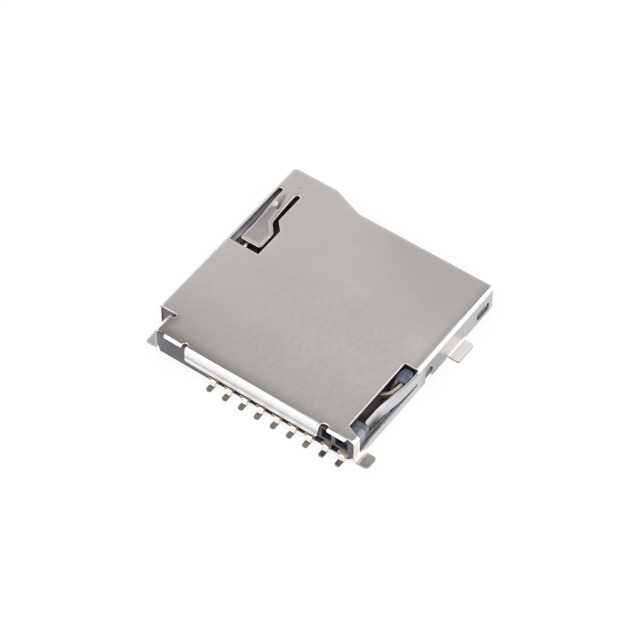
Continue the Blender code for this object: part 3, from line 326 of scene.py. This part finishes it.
# Switch lever
# A small gold-flashed leaf in a slot of the housing. The card's edge pushes its bent tip aside
# until it meets the switch contact.
gold_flash, tree, shader, mm = surface("gold_flashed_leaf", 1.0, 0.28)
z_mm = add_node(tree, "ShaderNodeSeparateXYZ", links={0: mm}).outputs["Z"]
smear = noise_of(tree, mm, 0.4, 3.0)
tone = ramp_of(tree, smear, [(0.3, "#DDD0BA"), (0.55, "#E9DFCF"), (0.8, "#F3EDE2")])
# Painted shade: the leaf turns brownish below its top edge, where its face is in shade.
tone = blend_colour(tree, zone(tree, (z_mm, 1.30, 1.22)), tone, "#A98D7A")
tree.links.new(tone, shader.inputs["Base Color"])
tree.links.new(spread(tree, smear, 0.3, 0.7, 0.30, 0.44), shader.inputs["Roughness"])
raise_grain(tree, shader, [(noise_of(tree, mm, 0.05, 2.0), 0.002)])
lever = worn_copy("detect_lever", "switch_lever", 0.03, 3, swell=0.045)
# The middle of the leaf bows to the left by up to this much, less again toward the tip.
bow = 0.07 * MM
for vert in lever.data.vertices:
    along = vert.co.y / MM
    share = min(max((-1.42 - along) / 0.45, 0), 1) * (1 - 0.6 * min(max((-2.4 - along) / 0.3, 0), 1))
    vert.co.x -= bow * share * share * (3 - 2 * share)
lever.data.materials.append(gold_flash)
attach(lever, "lever")
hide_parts("detect_lever")

# Slider
# The sprung carriage that the card pushes in. Dark moulded nylon, smoother than the housing,
# with a heart-shaped cam on top for the crank wire.
slider_resin, tree, shader, mm = surface("moulded_nylon_dark", 0.0, 0.42, 1.53)
flow = noise_of(tree, mm, 1.1, 4.0, (1, 0.4, 1))
grit = noise_of(tree, mm, 0.05, 2.0)
tone = ramp_of(tree, flow, [(0.3, "#26282C"), (0.8, "#363A40")])
tree.links.new(tone, shader.inputs["Base Color"])
tree.links.new(spread(tree, grit, 0.2, 0.8, 0.36, 0.52), shader.inputs["Roughness"])
raise_grain(tree, shader, [(grit, 0.004)])
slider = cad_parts["slider"]
slider.data.materials.clear()
slider.data.materials.append(slider_resin)

# Return spring
# A close-wound coil of drawn stainless wire between the slider's horn and its seat. It shortens
# as the card goes in.
spring_wire, tree, shader, mm = surface("drawn_stainless_wire", 0.3, 0.5)
tone = ramp_of(tree, noise_of(tree, mm, 0.5, 3.0), [(0.3, "#6E747E"), (0.8, "#8D949F")])
tree.links.new(tone, shader.inputs["Base Color"])
raise_grain(tree, shader, [(noise_of(tree, mm, 0.03, 2.0), 0.002)])
group = bpy.data.node_groups.new("wound_wire", "GeometryNodeTree")
sockets = {}
for label in ("Turns", "Radius", "Length", "Wire", "Finish"):
    kind = "NodeSocketMaterial" if label == "Finish" else "NodeSocketFloat"
    sockets[label] = group.interface.new_socket(label, in_out="INPUT", socket_type=kind).identifier
group.interface.new_socket("Geometry", in_out="OUTPUT", socket_type="NodeSocketGeometry")
given = add_node(group, "NodeGroupInput").outputs
half_wire = add_node(group, "ShaderNodeMath", {"operation": "MULTIPLY", 1: 0.5}, {0: given["Wire"]})
helix = add_node(group, "GeometryNodeCurveSpiral", {"Resolution": 20},
                 {"Rotations": given["Turns"], "Start Radius": given["Radius"],
                  "End Radius": given["Radius"], "Height": given["Length"]})
section = add_node(group, "GeometryNodeCurvePrimitiveCircle", {"Resolution": 10},
                   {"Radius": half_wire.outputs[0]})
wire = add_node(group, "GeometryNodeCurveToMesh", {"Fill Caps": True},
                {"Curve": helix.outputs[0], "Profile Curve": section.outputs[0]})
lying = add_node(group, "GeometryNodeTransform", {"Rotation": (-math.pi / 2, 0, 0)},
                 {"Geometry": wire.outputs[0]})
real = add_node(group, "GeometryNodeRealizeInstances", links={0: lying.outputs[0]})
clad = add_node(group, "GeometryNodeSetMaterial",
                links={"Geometry": real.outputs[0], "Material": given["Finish"]})
add_node(group, "NodeGroupOutput", links={0: clad.outputs[0]})
seed = place_object("wire_seed", bpy.data.meshes.new("wire_seed"))
low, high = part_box("coil_spring")
turns, thick = 43.0, 0.11 * MM
winding = seed.modifiers.new("wound_wire", "NODES")
winding.node_group = group
for label, value in (("Turns", turns), ("Radius", (high.x - low.x - thick) / 2), ("Wire", thick),
                     ("Length", high.y - low.y - thick), ("Finish", spring_wire)):
    winding[sockets[label]] = value
evaluated = seed.evaluated_get(bpy.context.evaluated_depsgraph_get())
coil_mesh = bpy.data.meshes.new_from_object(evaluated)
bpy.data.objects.remove(seed)
near_end = Vector(((low.x + high.x) / 2, low.y + thick / 2, (low.z + high.z) / 2))
coil_mesh.transform(Matrix.Translation(near_end))
coil_mesh.shade_smooth()
coil = place_object("return_spring", coil_mesh)
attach(coil, "base")
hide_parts("coil_spring")
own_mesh(coil)

# Crank
# A bent stainless wire. One leg turns in the housing, and the other runs round the slider's cam
# and latches it.
crank_wire, tree, shader, mm = surface("drawn_stainless_wire_bright", 1.0, 0.2)
tone = ramp_of(tree, noise_of(tree, mm, 0.5, 3.0), [(0.3, "#C9CBCD"), (0.8, "#E6E7E6")])
tree.links.new(tone, shader.inputs["Base Color"])
raise_grain(tree, shader, [(noise_of(tree, mm, 0.04, 2.0, (1, 0.2, 1)), 0.002)])
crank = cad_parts["crank_pin"]
crank.data.materials.clear()
crank.data.materials.append(crank_wire)

# Shell
# The cover, stamped from 0.15 mm stainless sheet, nickel plated and folded down over the housing.
# Satin on top with faint rolling lines along Y, with painted highlights on the folds and on the cut
# edges that the die rolled over.
shell_steel, tree, shader, mm = surface("nickel_plated_stainless_sheet", 1.0, 0.3)
x_mm, y_mm, z_mm = add_node(tree, "ShaderNodeSeparateXYZ", links={0: mm}).outputs
outward = add_node(tree, "ShaderNodeMath", {"operation": "ABSOLUTE"}, {0: x_mm}).outputs[0]
cloud = noise_of(tree, mm, 3.5, 3.0)
lines = noise_of(tree, mm, 0.09, 2.0, (1, 0.08, 1))
speck = noise_of(tree, mm, 0.12, 2.0)
streaks = noise_of(tree, mm, 0.2, 4.0, (1, 0.3, 1))
# The satin top: mottled toward the rear right, darker toward the rear, most on the left, and toward
# the mouth on the right.
mottle = product(tree, spread(tree, streaks, 0.42, 0.66, 0.0, 0.16),
                 spread(tree, y_mm, -2.0, 5.0, 1.0, 0.3), spread(tree, x_mm, -5.0, 1.0, 0.35, 1.0))
rear_darker = product(tree, zone(tree, (y_mm, -1.5, -6.4)), spread(tree, x_mm, -7.0, 2.0, 1.0, 0.4),
                    spread(tree, cloud, 0.3, 0.7, 0.35, 0.6))
mouth_darker = product(tree, zone(tree, (x_mm, -3.5, 3.5)), spread(tree, y_mm, 1.0, 6.5, 0.0, 0.26))
# Painted shade along the folds and in the embossing, carried by the mesh.
shade_fac = add_node(tree, "ShaderNodeAttribute", {"attribute_name": "painted_shade"}).outputs["Fac"]
# Painted highlights on the rolled cut edges and on the boss, carried by the mesh.
rim_highlight = add_node(tree, "ShaderNodeAttribute", {"attribute_name": "rim"}).outputs["Fac"]
# The walls, with painted reflections: darker toward the rear, a paler rail further back, a painted
# highlight on the post at its end, and on the right a slanting painted reflection of the middle
# tab's foot.
walls = zone(tree, (outward, 7.22, 7.27), (z_mm, 1.58, 1.46))
wall_reflection_tone = blend_colour(tree, zone(tree, (y_mm, 1.5, 4.0)), "#A6A6AC", "#BDBDC1")
rail_reflection = product(tree, walls, zone(tree, (y_mm, 0.6, -0.5)))
post_highlight = product(tree, walls, zone(tree, (y_mm, -5.75, -5.85)))
slant = add_node(tree, "ShaderNodeMath", {"operation": "MULTIPLY_ADD", 1: 0.69},
                 {0: z_mm, 2: y_mm}).outputs[0]
tab_reflection = product(tree, walls, zone(tree, (slant, 2.45, 2.53), (slant, 4.05, 3.97), (z_mm, 1.58, 1.50),
                                  (x_mm, 7.22, 7.27)))
# The leaf at the window's right edge, painted darker toward its rear end, with painted shade low
# down there.
leaf = zone(tree, (x_mm, 6.40, 6.45), (y_mm, -0.3, -1.3), (y_mm, -5.0, -4.9), (z_mm, 0.64, 0.70),
            (z_mm, 1.60, 1.54))
leaf_shaded_tone = blend_colour(tree, zone(tree, (y_mm, -4.2, -2.6)), "#A9A7A7", "#CECDD2")
leaf_shade = zone(tree, (y_mm, -3.3, -4.4), (z_mm, 1.38, 1.10))
leaf_shaded_tone = blend_colour(tree, leaf_shade, leaf_shaded_tone, "#4F4843")
# Painted highlights on the folds along the sides and the rear, the slit's edge, the fold of the arm
# beside it, and the rear lips, with a darker line of painted reflection halfway down the lips.
side_or_rear = combine(tree, "MAXIMUM", zone(tree, (outward, 7.05, 7.12)),
                       zone(tree, (y_mm, -6.52, -6.64)))
fold_highlight = product(tree, side_or_rear, zone(tree, (z_mm, 1.54, 1.62)))
slit_edge = zone(tree, (x_mm, -7.10, -7.14), (y_mm, -4.99, -5.03))
arm_fold = zone(tree, (x_mm, -6.20, -6.24), (y_mm, -5.06, -5.12), (z_mm, 1.60, 1.66))
rear_lips = zone(tree, (y_mm, -6.70, -6.74), (outward, 6.0, 5.9))
lip_dark_line = product(tree, rear_lips, zone(tree, (z_mm, 0.96, 1.04), (z_mm, 1.45, 1.06)))
# The solder tabs: pale in the middle, darker at the rear, with a painted highlight on the bend.
feet = zone(tree, (outward, 7.31, 7.33))
mid_feet = product(tree, feet, zone(tree, (y_mm, 0.0, 0.1)))
rear_feet = product(tree, feet, zone(tree, (y_mm, 0.1, 0.0)))
foot_bend_highlight = product(tree, rear_feet, zone(tree, (outward, 7.62, 7.48)))
# The painted shade, highlights and reflections of the masks above go over the satin here.
tone = layered(
    tree, ramp_of(tree, cloud, [(0.25, "#D1CCC9"), (0.5, "#D6D1CE"), (0.75, "#DBD6D3")]),
    (spread(tree, lines, 0.35, 0.7, 0.0, 0.05), "#ADA8A3"), (mottle, "#A8A29D"),
    (spread(tree, speck, 0.45, 0.75, 0.0, 0.06), "#E3DFDA"), (rear_darker, "#A39E99"),
    (mouth_darker, "#A39E99"), (shade_fac, "#8B8681"), (zone(tree, (shade_fac, 0.87, 1.0)), "#6E655E"),
    (spread(tree, rim_highlight, 0.1, 0.9, 0.0, 0.8), "#E4E0DC"),
    (zone(tree, (rim_highlight, 1.0, 1.6)), "#FFFEFC"),
    (walls, wall_reflection_tone), (rail_reflection, "#CFCBCB"), (post_highlight, "#F6F3F0"), (tab_reflection, "#CCCAC9"), (leaf, leaf_shaded_tone),
    (fold_highlight, "#F4F2EF"), (slit_edge, "#FDFCFB"), (arm_fold, "#F8F6F4"), (rear_lips, "#F1EFED"),
    (lip_dark_line, "#C6C6CC"), (mid_feet, "#FBF8F4"), (rear_feet, "#BAB2AA"), (foot_bend_highlight, "#FAF8F6"))
tree.links.new(tone, shader.inputs["Base Color"])
lip_blur = product(tree, rear_lips, spread(tree, z_mm, 1.50, 1.60, 0.55, 0.0))
blur = combine(tree, "MAXIMUM", spread(tree, lines, 0.2, 0.8, 0.28, 0.38), lip_blur,
               spread(tree, mid_feet, 0.0, 1.0, 0.0, 0.6))
tree.links.new(blur, shader.inputs["Roughness"])
raise_grain(tree, shader, [(lines, 0.0015), (speck, 0.001)])
sheared_edge, tree, shader, mm = surface("sheared_sheet_edge", 1.0, 0.45)
tone = ramp_of(tree, noise_of(tree, mm, 0.3, 3.0, (1, 1, 3)), [(0.3, "#A19D99"), (0.7, "#B7B3AF")])
tree.links.new(tone, shader.inputs["Base Color"])
raise_grain(tree, shader, [(noise_of(tree, mm, 0.05, 2.0, (1, 1, 0.2)), 0.003)])


def level_skin(start):
    """The faces that run on from one face without a fold or a cut edge."""
    skin, queue = {start}, [start]
    while queue:
        face = queue.pop()
        for edge in face.edges:
            for other in edge.link_faces:
                if other not in skin and other.normal.angle(face.normal, 3) < math.radians(5):
                    skin.add(other)
                    queue.append(other)
    return skin


def split_evenly(edge, step):
    """Splits an edge into equal lengths no longer than the step."""
    count = math.ceil(edge.calc_length() / step)
    while count > 1:
        extra, _ = bmesh.utils.edge_split(edge, edge.verts[0], 1 / count)
        edge = max(edge, extra, key=lambda e: e.calc_length())
        count -= 1


def nearest(points, segments):
    """How far each point is from the nearest of the segments, all in plan."""
    start, run = segments[:, 0], segments[:, 1] - segments[:, 0]
    along = ((points[:, None] - start) * run).sum(2) / (run ** 2).sum(1)
    foot = start + np.clip(along, 0, 1)[..., None] * run
    return np.linalg.norm(points[:, None] - foot, axis=2).min(1)


def smooth_step(value):
    """A smooth step from 0 to 1, for arrays."""
    value = np.clip(value, 0, 1)
    return value * value * (3 - 2 * value)


bm = bmesh.new()
bm.from_mesh(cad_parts["shell"].data)
rim_highlight_layer = bm.verts.layers.float.new("rim")
painted_shade_layer = bm.verts.layers.float.new("painted_shade")
bmesh.ops.remove_doubles(bm, verts=bm.verts, dist=1e-7)
# The short rear lip on the right ends a little further right than in the solids.
lip_shift = 0.17 * MM
for vert in bm.verts:
    if vert.co.y < -6.3 * MM and 5.0 * MM < vert.co.x < 6.9 * MM:
        vert.co.x += lip_shift * min(max((vert.co.x / MM - 5.04) / 0.28, 0), 1)
bm.normal_update()
# The top of the sheet, between its folds and cut edges, is marked and then meshed again, finely
# enough to be rolled over at the edges and embossed.
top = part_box("shell")[1].z
level = [f for f in bm.faces if f.normal.z > 0.999 and f.calc_center_median().z > top - 0.01 * MM]
plate = max(level, key=lambda f: f.calc_area())
skin = level_skin(plate)
skin_mark = 2
for face in skin:
    face.material_index = skin_mark
bm.verts.index_update()
skin_tree = BVHTree.FromPolygons([v.co.copy() for v in bm.verts],
                                 [[v.index for v in f.verts] for f in skin])


def under(x, y):
    """The spot of the cover's skin at a place in plan, or None beside it."""
    return skin_tree.ray_cast(Vector((x, y, 0.01)), Vector((0, 0, -1)))[0]


def rim_edges():
    """The edges between the marked skin and the rest of the sheet."""
    return [e for e in bm.edges if len(e.link_faces) == 2
            and sum(f.material_index == skin_mark for f in e.link_faces) == 1]


def grid_of(low, high, step):
    """Evenly spaced places in plan."""
    rows = [np.arange(a, b, step) for a, b in zip(low, high)]
    return np.stack(np.meshgrid(*rows), 2).reshape(-1, 2)


def free_places(places, clearance):
    """Those places that are on the skin and further than this from its rim."""
    far = nearest(places, rim_lines)
    return [tuple(p) for p, d in zip(places, far) if d > clearance and under(*p)]


for edge in rim_edges():
    split_evenly(edge, 0.15 * MM)
rim = rim_edges()
turn = {e: e.link_faces[0].normal.angle(e.link_faces[1].normal, 0) for e in rim}
steep = math.radians(45)
cut = np.array([[v.co.xy for v in e.verts] for e in rim if turn[e] > steep])
folds = np.array([[v.co.xy for v in e.verts] for e in rim if turn[e] <= steep])
rim_lines = np.concatenate([cut, folds])
border = list(dict.fromkeys(v for e in rim for v in e.verts))
order = {v: i for i, v in enumerate(border)}
# Places for the new vertices: rows beside the rim, a coarse grid, and a fine one over the tongue.
# Where they crowd, one is kept in each small cell.
middle = rim_lines.mean(1)
run = rim_lines[:, 1] - rim_lines[:, 0]
across = np.stack([-run[:, 1], run[:, 0]], 1) / np.linalg.norm(run, axis=1)[:, None]
inside = []
for reach in (0.05, 0.11, 0.17, 0.22, 0.28, 0.38, 0.52):
    for way in (-1, 1):
        inside += free_places(middle + across * way * reach * MM, reach * MM * 0.93)
low, high = (np.array(corner.xy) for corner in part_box("shell"))
inside += free_places(grid_of(low, high, 0.5 * MM), 0.6 * MM)
inside += free_places(grid_of((-6.72, 1.85), (-5.3, 6.8), 0.07) * MM, 0.03 * MM)
cell = 0.04
spots = list({(round(x / MM / cell), round(y / MM / cell)): (x, y) for x, y in inside}.values())
bmesh.ops.delete(bm, geom=[f for f in bm.faces if f.material_index == skin_mark], context="FACES")
plan = [Vector((x / MM, y / MM)) for x, y in [v.co.xy for v in border] + spots]
places, _, triangles, sources, *_ = delaunay_2d_cdt(
    plan, [[order[v] for v in e.verts] for e in rim], [], 0, 1e-6, True)
made = []
for place, source in zip(places, sources):
    known = [i for i in source if i < len(border)]
    if known:
        made.append(border[known[0]])
    else:
        x, y = place[0] * MM, place[1] * MM
        hit = under(x, y)
        made.append(bm.verts.new((x, y, hit.z if hit else top)))
for face in triangles:
    centre = sum((Vector(places[i]) for i in face), Vector((0, 0))) / len(face) * MM
    if under(centre.x, centre.y):
        bm.faces.new([made[i] for i in face])
skin_verts = [v for v in dict.fromkeys(made) if v.link_faces]
for vert in [v for v in made if not v.link_faces]:
    bm.verts.remove(vert)
flat = np.array([v.co.xy for v in skin_verts])
from_cut, from_fold = nearest(flat, cut) / MM, nearest(flat, folds) / MM


def along_path(points, width):
    """How deep each skin vertex lies in a soft groove along a path, from 0 beside it to 1 in it."""
    path = np.array(points) * MM
    return smooth_step(1 - nearest(flat, np.stack([path[:-1], path[1:]], 1)) / MM / width)


x, y = flat.T / MM
# The pressing tongue's sunk panel narrows to a stem toward the mouth.
in_tongue = (x > -6.8) & (y > 1.75) & (y < 6.05) & (x < np.where(y > 3.55, -5.82, -5.25))
panel = smooth_step((from_cut - 0.15) / 0.09) * (y < 3.7)
stem_half = 0.27 - 0.19 * np.clip((y - 3.4) / 2.4, 0, 1)
stem = smooth_step((stem_half - abs(x + 6.31)) / 0.08 + 0.4)
stem = stem * smooth_step((5.9 - y) / 0.4) * (y > 3.3)
panel = np.maximum(panel, stem) * in_tongue
# A groove along the stem with a raised boss at its end, and a dimple in front of the tongue.
groove = np.clip(1.6 * along_path([(-6.26, 5.5), (-6.19, 4.72)], 0.2), 0, 1)
groove = groove * np.interp(y, [4.95, 5.6], [1.0, 0.45])
boss = along_path([(-6.49, 4.92), (-6.47, 4.78)], 0.17)
dimple = along_path([(-5.94, 6.63), (-5.94, 6.59)], 0.11)
rolled_over = 0.016 * np.clip(1 - from_cut / 0.16, 0, 1) ** 2
drop = rolled_over + 0.03 * panel + 0.04 * groove + 0.02 * dimple - 0.04 * boss
# Painted reflection and shade: dark bands along the rear and right folds, and darker embossing.
beyond = 9.0
to_rear_fold = np.where(y < -5.0, from_fold, beyond)
to_right_fold = np.where((x > 6.0) & (y > -0.4), from_fold, beyond)
band = smooth_step(1 - to_rear_fold) ** 1.5 * np.interp(x, [-6, -1, 6], [0.85, 0.5, 0.3])
band = np.maximum(band, 0.25 * smooth_step(1 - to_right_fold / 0.5))
painted_shade = np.clip(np.maximum.reduce([band, groove, 0.6 * dimple, 0.4 * panel]) - boss, 0, 1)
# Each skin vertex is lowered and keeps its painted highlight, by the cut edges and on the boss, and
# its painted shade.
for vert, down, away, shade_share, raised in zip(skin_verts, drop, from_cut, painted_shade, boss):
    vert.co.z -= down * MM
    soft = vert.co.y > 6.5 * MM or (vert.co.x > 5.9 * MM and vert.co.y < 0.3 * MM)
    vert[rim_highlight_layer] = max(min(max(1 - away / 0.14, 0), 1) * (0.25 if soft else 0.7), 2 * raised)
    vert[painted_shade_layer] = shade_share
bmesh.ops.recalc_face_normals(bm, faces=bm.faces)
# Bare steel on the sheet's cut edges, round the openings and at the tabs.
for face in bm.faces:
    centre = face.calc_center_median() / MM
    upright = abs(face.normal.z) < 0.3
    leaf_side = centre.x > 6.4 and centre.y < -0.3 and centre.z < 1.62
    inner_edge = upright and abs(centre.x) < 7.2 and -6.0 < centre.y < 6.4 and not leaf_side
    tab_edge = upright and abs(centre.x) > 7.34 and centre.z < 0.2
    sheared = tab_edge or inner_edge and top / MM - 0.5 < centre.z < top / MM
    face.material_index = 1 if sheared else 0
kept = set(skin_verts)
sharp = [e for e in bm.edges if len(e.link_faces) == 2 and e.calc_face_angle() > steep
         and not kept.intersection(e.verts)]
bmesh.ops.bevel(bm, geom=sharp, offset=0.02 * MM, segments=2, profile=0.6, affect="EDGES",
                clamp_overlap=True)
shell_mesh = bpy.data.meshes.new("cover_shell")
bm.to_mesh(shell_mesh)
bm.free()
shell = place_object("cover_shell", shell_mesh)
shell_mesh.shade_smooth()
shell_mesh.set_sharp_from_angle(angle=math.radians(40))
shell_mesh.materials.append(shell_steel)
shell_mesh.materials.append(sheared_edge)
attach(shell, "base")
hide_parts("shell")

# Floor
# A plain white table. The camera sees it as white with the object's soft shadow left in it, and
# the metal mirrors it as it is lit.
bm = bmesh.new()
bmesh.ops.create_grid(bm, x_segments=1, y_segments=1, size=0.6)
bmesh.ops.translate(bm, verts=bm.verts, vec=(0, 0, -0.01 * MM))
floor_mesh = bpy.data.meshes.new("table")
bm.to_mesh(floor_mesh)
bm.free()
floor = place_object("table", floor_mesh)
table_white = bpy.data.materials.new("white_table")
table_white.use_nodes = True
tree = table_white.node_tree
tree.nodes.remove(tree.nodes["Principled BSDF"])
ray = add_node(tree, "ShaderNodeLightPath")
glow = add_node(tree, "ShaderNodeEmission", {"Color": (1, 1, 1, 1), "Strength": 0.8})
seen = add_node(tree, "ShaderNodeBsdfDiffuse", {"Color": (0.22, 0.22, 0.22, 1)})
both = add_node(tree, "ShaderNodeAddShader", links={0: glow.outputs[0], 1: seen.outputs[0]})
plain = add_node(tree, "ShaderNodeBsdfDiffuse", {"Color": (0.85, 0.85, 0.85, 1)})
mirrored = add_node(tree, "ShaderNodeMath", {"operation": "ADD"},
                    {0: ray.outputs["Is Glossy Ray"], 1: ray.outputs["Is Transmission Ray"]})
shown = add_node(tree, "ShaderNodeMath", {"operation": "ADD", "use_clamp": True},
                 {0: ray.outputs["Is Camera Ray"], 1: mirrored.outputs[0]})
pick = add_node(tree, "ShaderNodeMixShader",
                links={0: shown.outputs[0], 1: plain.outputs[0], 2: both.outputs[0]})
tree.links.new(pick.outputs[0], tree.nodes["Material Output"].inputs["Surface"])
floor_mesh.materials.append(table_white)

# Light
# A white tent: bright low down all round, a little greyer overhead, and two soft boxes that the
# rear fold and the right fold mirror.
world = bpy.data.worlds.new("tent")
bpy.context.scene.world = world
world.use_nodes = True
tree = world.node_tree
place = add_node(tree, "ShaderNodeTexCoord")
height = add_node(tree, "ShaderNodeSeparateXYZ", links={0: place.outputs["Generated"]})
tent = add_node(tree, "ShaderNodeValToRGB", links={"Fac": height.outputs["Z"]})
levels = ((0.35, 1.0), (0.70, 0.84), (0.80, 0.68), (0.90, 0.46), (1.0, 0.34))
while len(tent.color_ramp.elements) < len(levels):
    tent.color_ramp.elements.new(0.5)
for stop, (place, level) in zip(tent.color_ramp.elements, levels):
    stop.position, stop.color = place, (level, level, level, 1)
tree.links.new(tent.outputs["Color"], tree.nodes["Background"].inputs["Color"])


def soft_box(name, toward, away, wide, tall, power):
    """An area lamp that faces the socket from the given direction."""
    lamp = bpy.data.lights.new(name, "AREA")
    lamp.shape = "RECTANGLE"
    lamp.size, lamp.size_y = wide, tall
    lamp.energy = power
    box = place_object(name, lamp)
    direction = Vector(toward).normalized()
    box.location = direction * away
    box.rotation_euler = direction.to_track_quat("Z", "Y").to_euler()
    box.visible_camera = False


soft_box("front_box", (-0.33, -0.75, 0.56), 0.22, 0.40, 0.42, 0.45)
soft_box("right_rear_box", (0.76, 0.50, 0.36), 0.22, 0.26, 0.30, 0.22)

# Camera
# A long lens from the photograph's angle, over the rear right corner. Its focal length and its
# axis are in pixels of the photograph.
lens = bpy.data.cameras.new("camera")
camera = place_object("camera", lens)
azimuth, elevation = math.radians(35.818), math.radians(51.214)
toward = Vector((math.sin(azimuth) * math.cos(elevation), -math.cos(azimuth) * math.cos(elevation),
                 math.sin(elevation)))
distance = 0.161463
camera.location = toward * distance
camera.rotation_euler = toward.to_track_quat("Z", "Y").to_euler()
lens.sensor_width = 36
photo, focal, axis_x, axis_y = 640, 2847.49, 316.789, 326.392
lens.lens = focal / photo * 36
lens.shift_x = -(axis_x - photo / 2) / photo
lens.shift_y = (axis_y - photo / 2) / photo
lens.clip_start, lens.clip_end = 0.01, 10
bpy.context.scene.camera = camera
bpy.context.scene.view_settings.view_transform = "Standard"
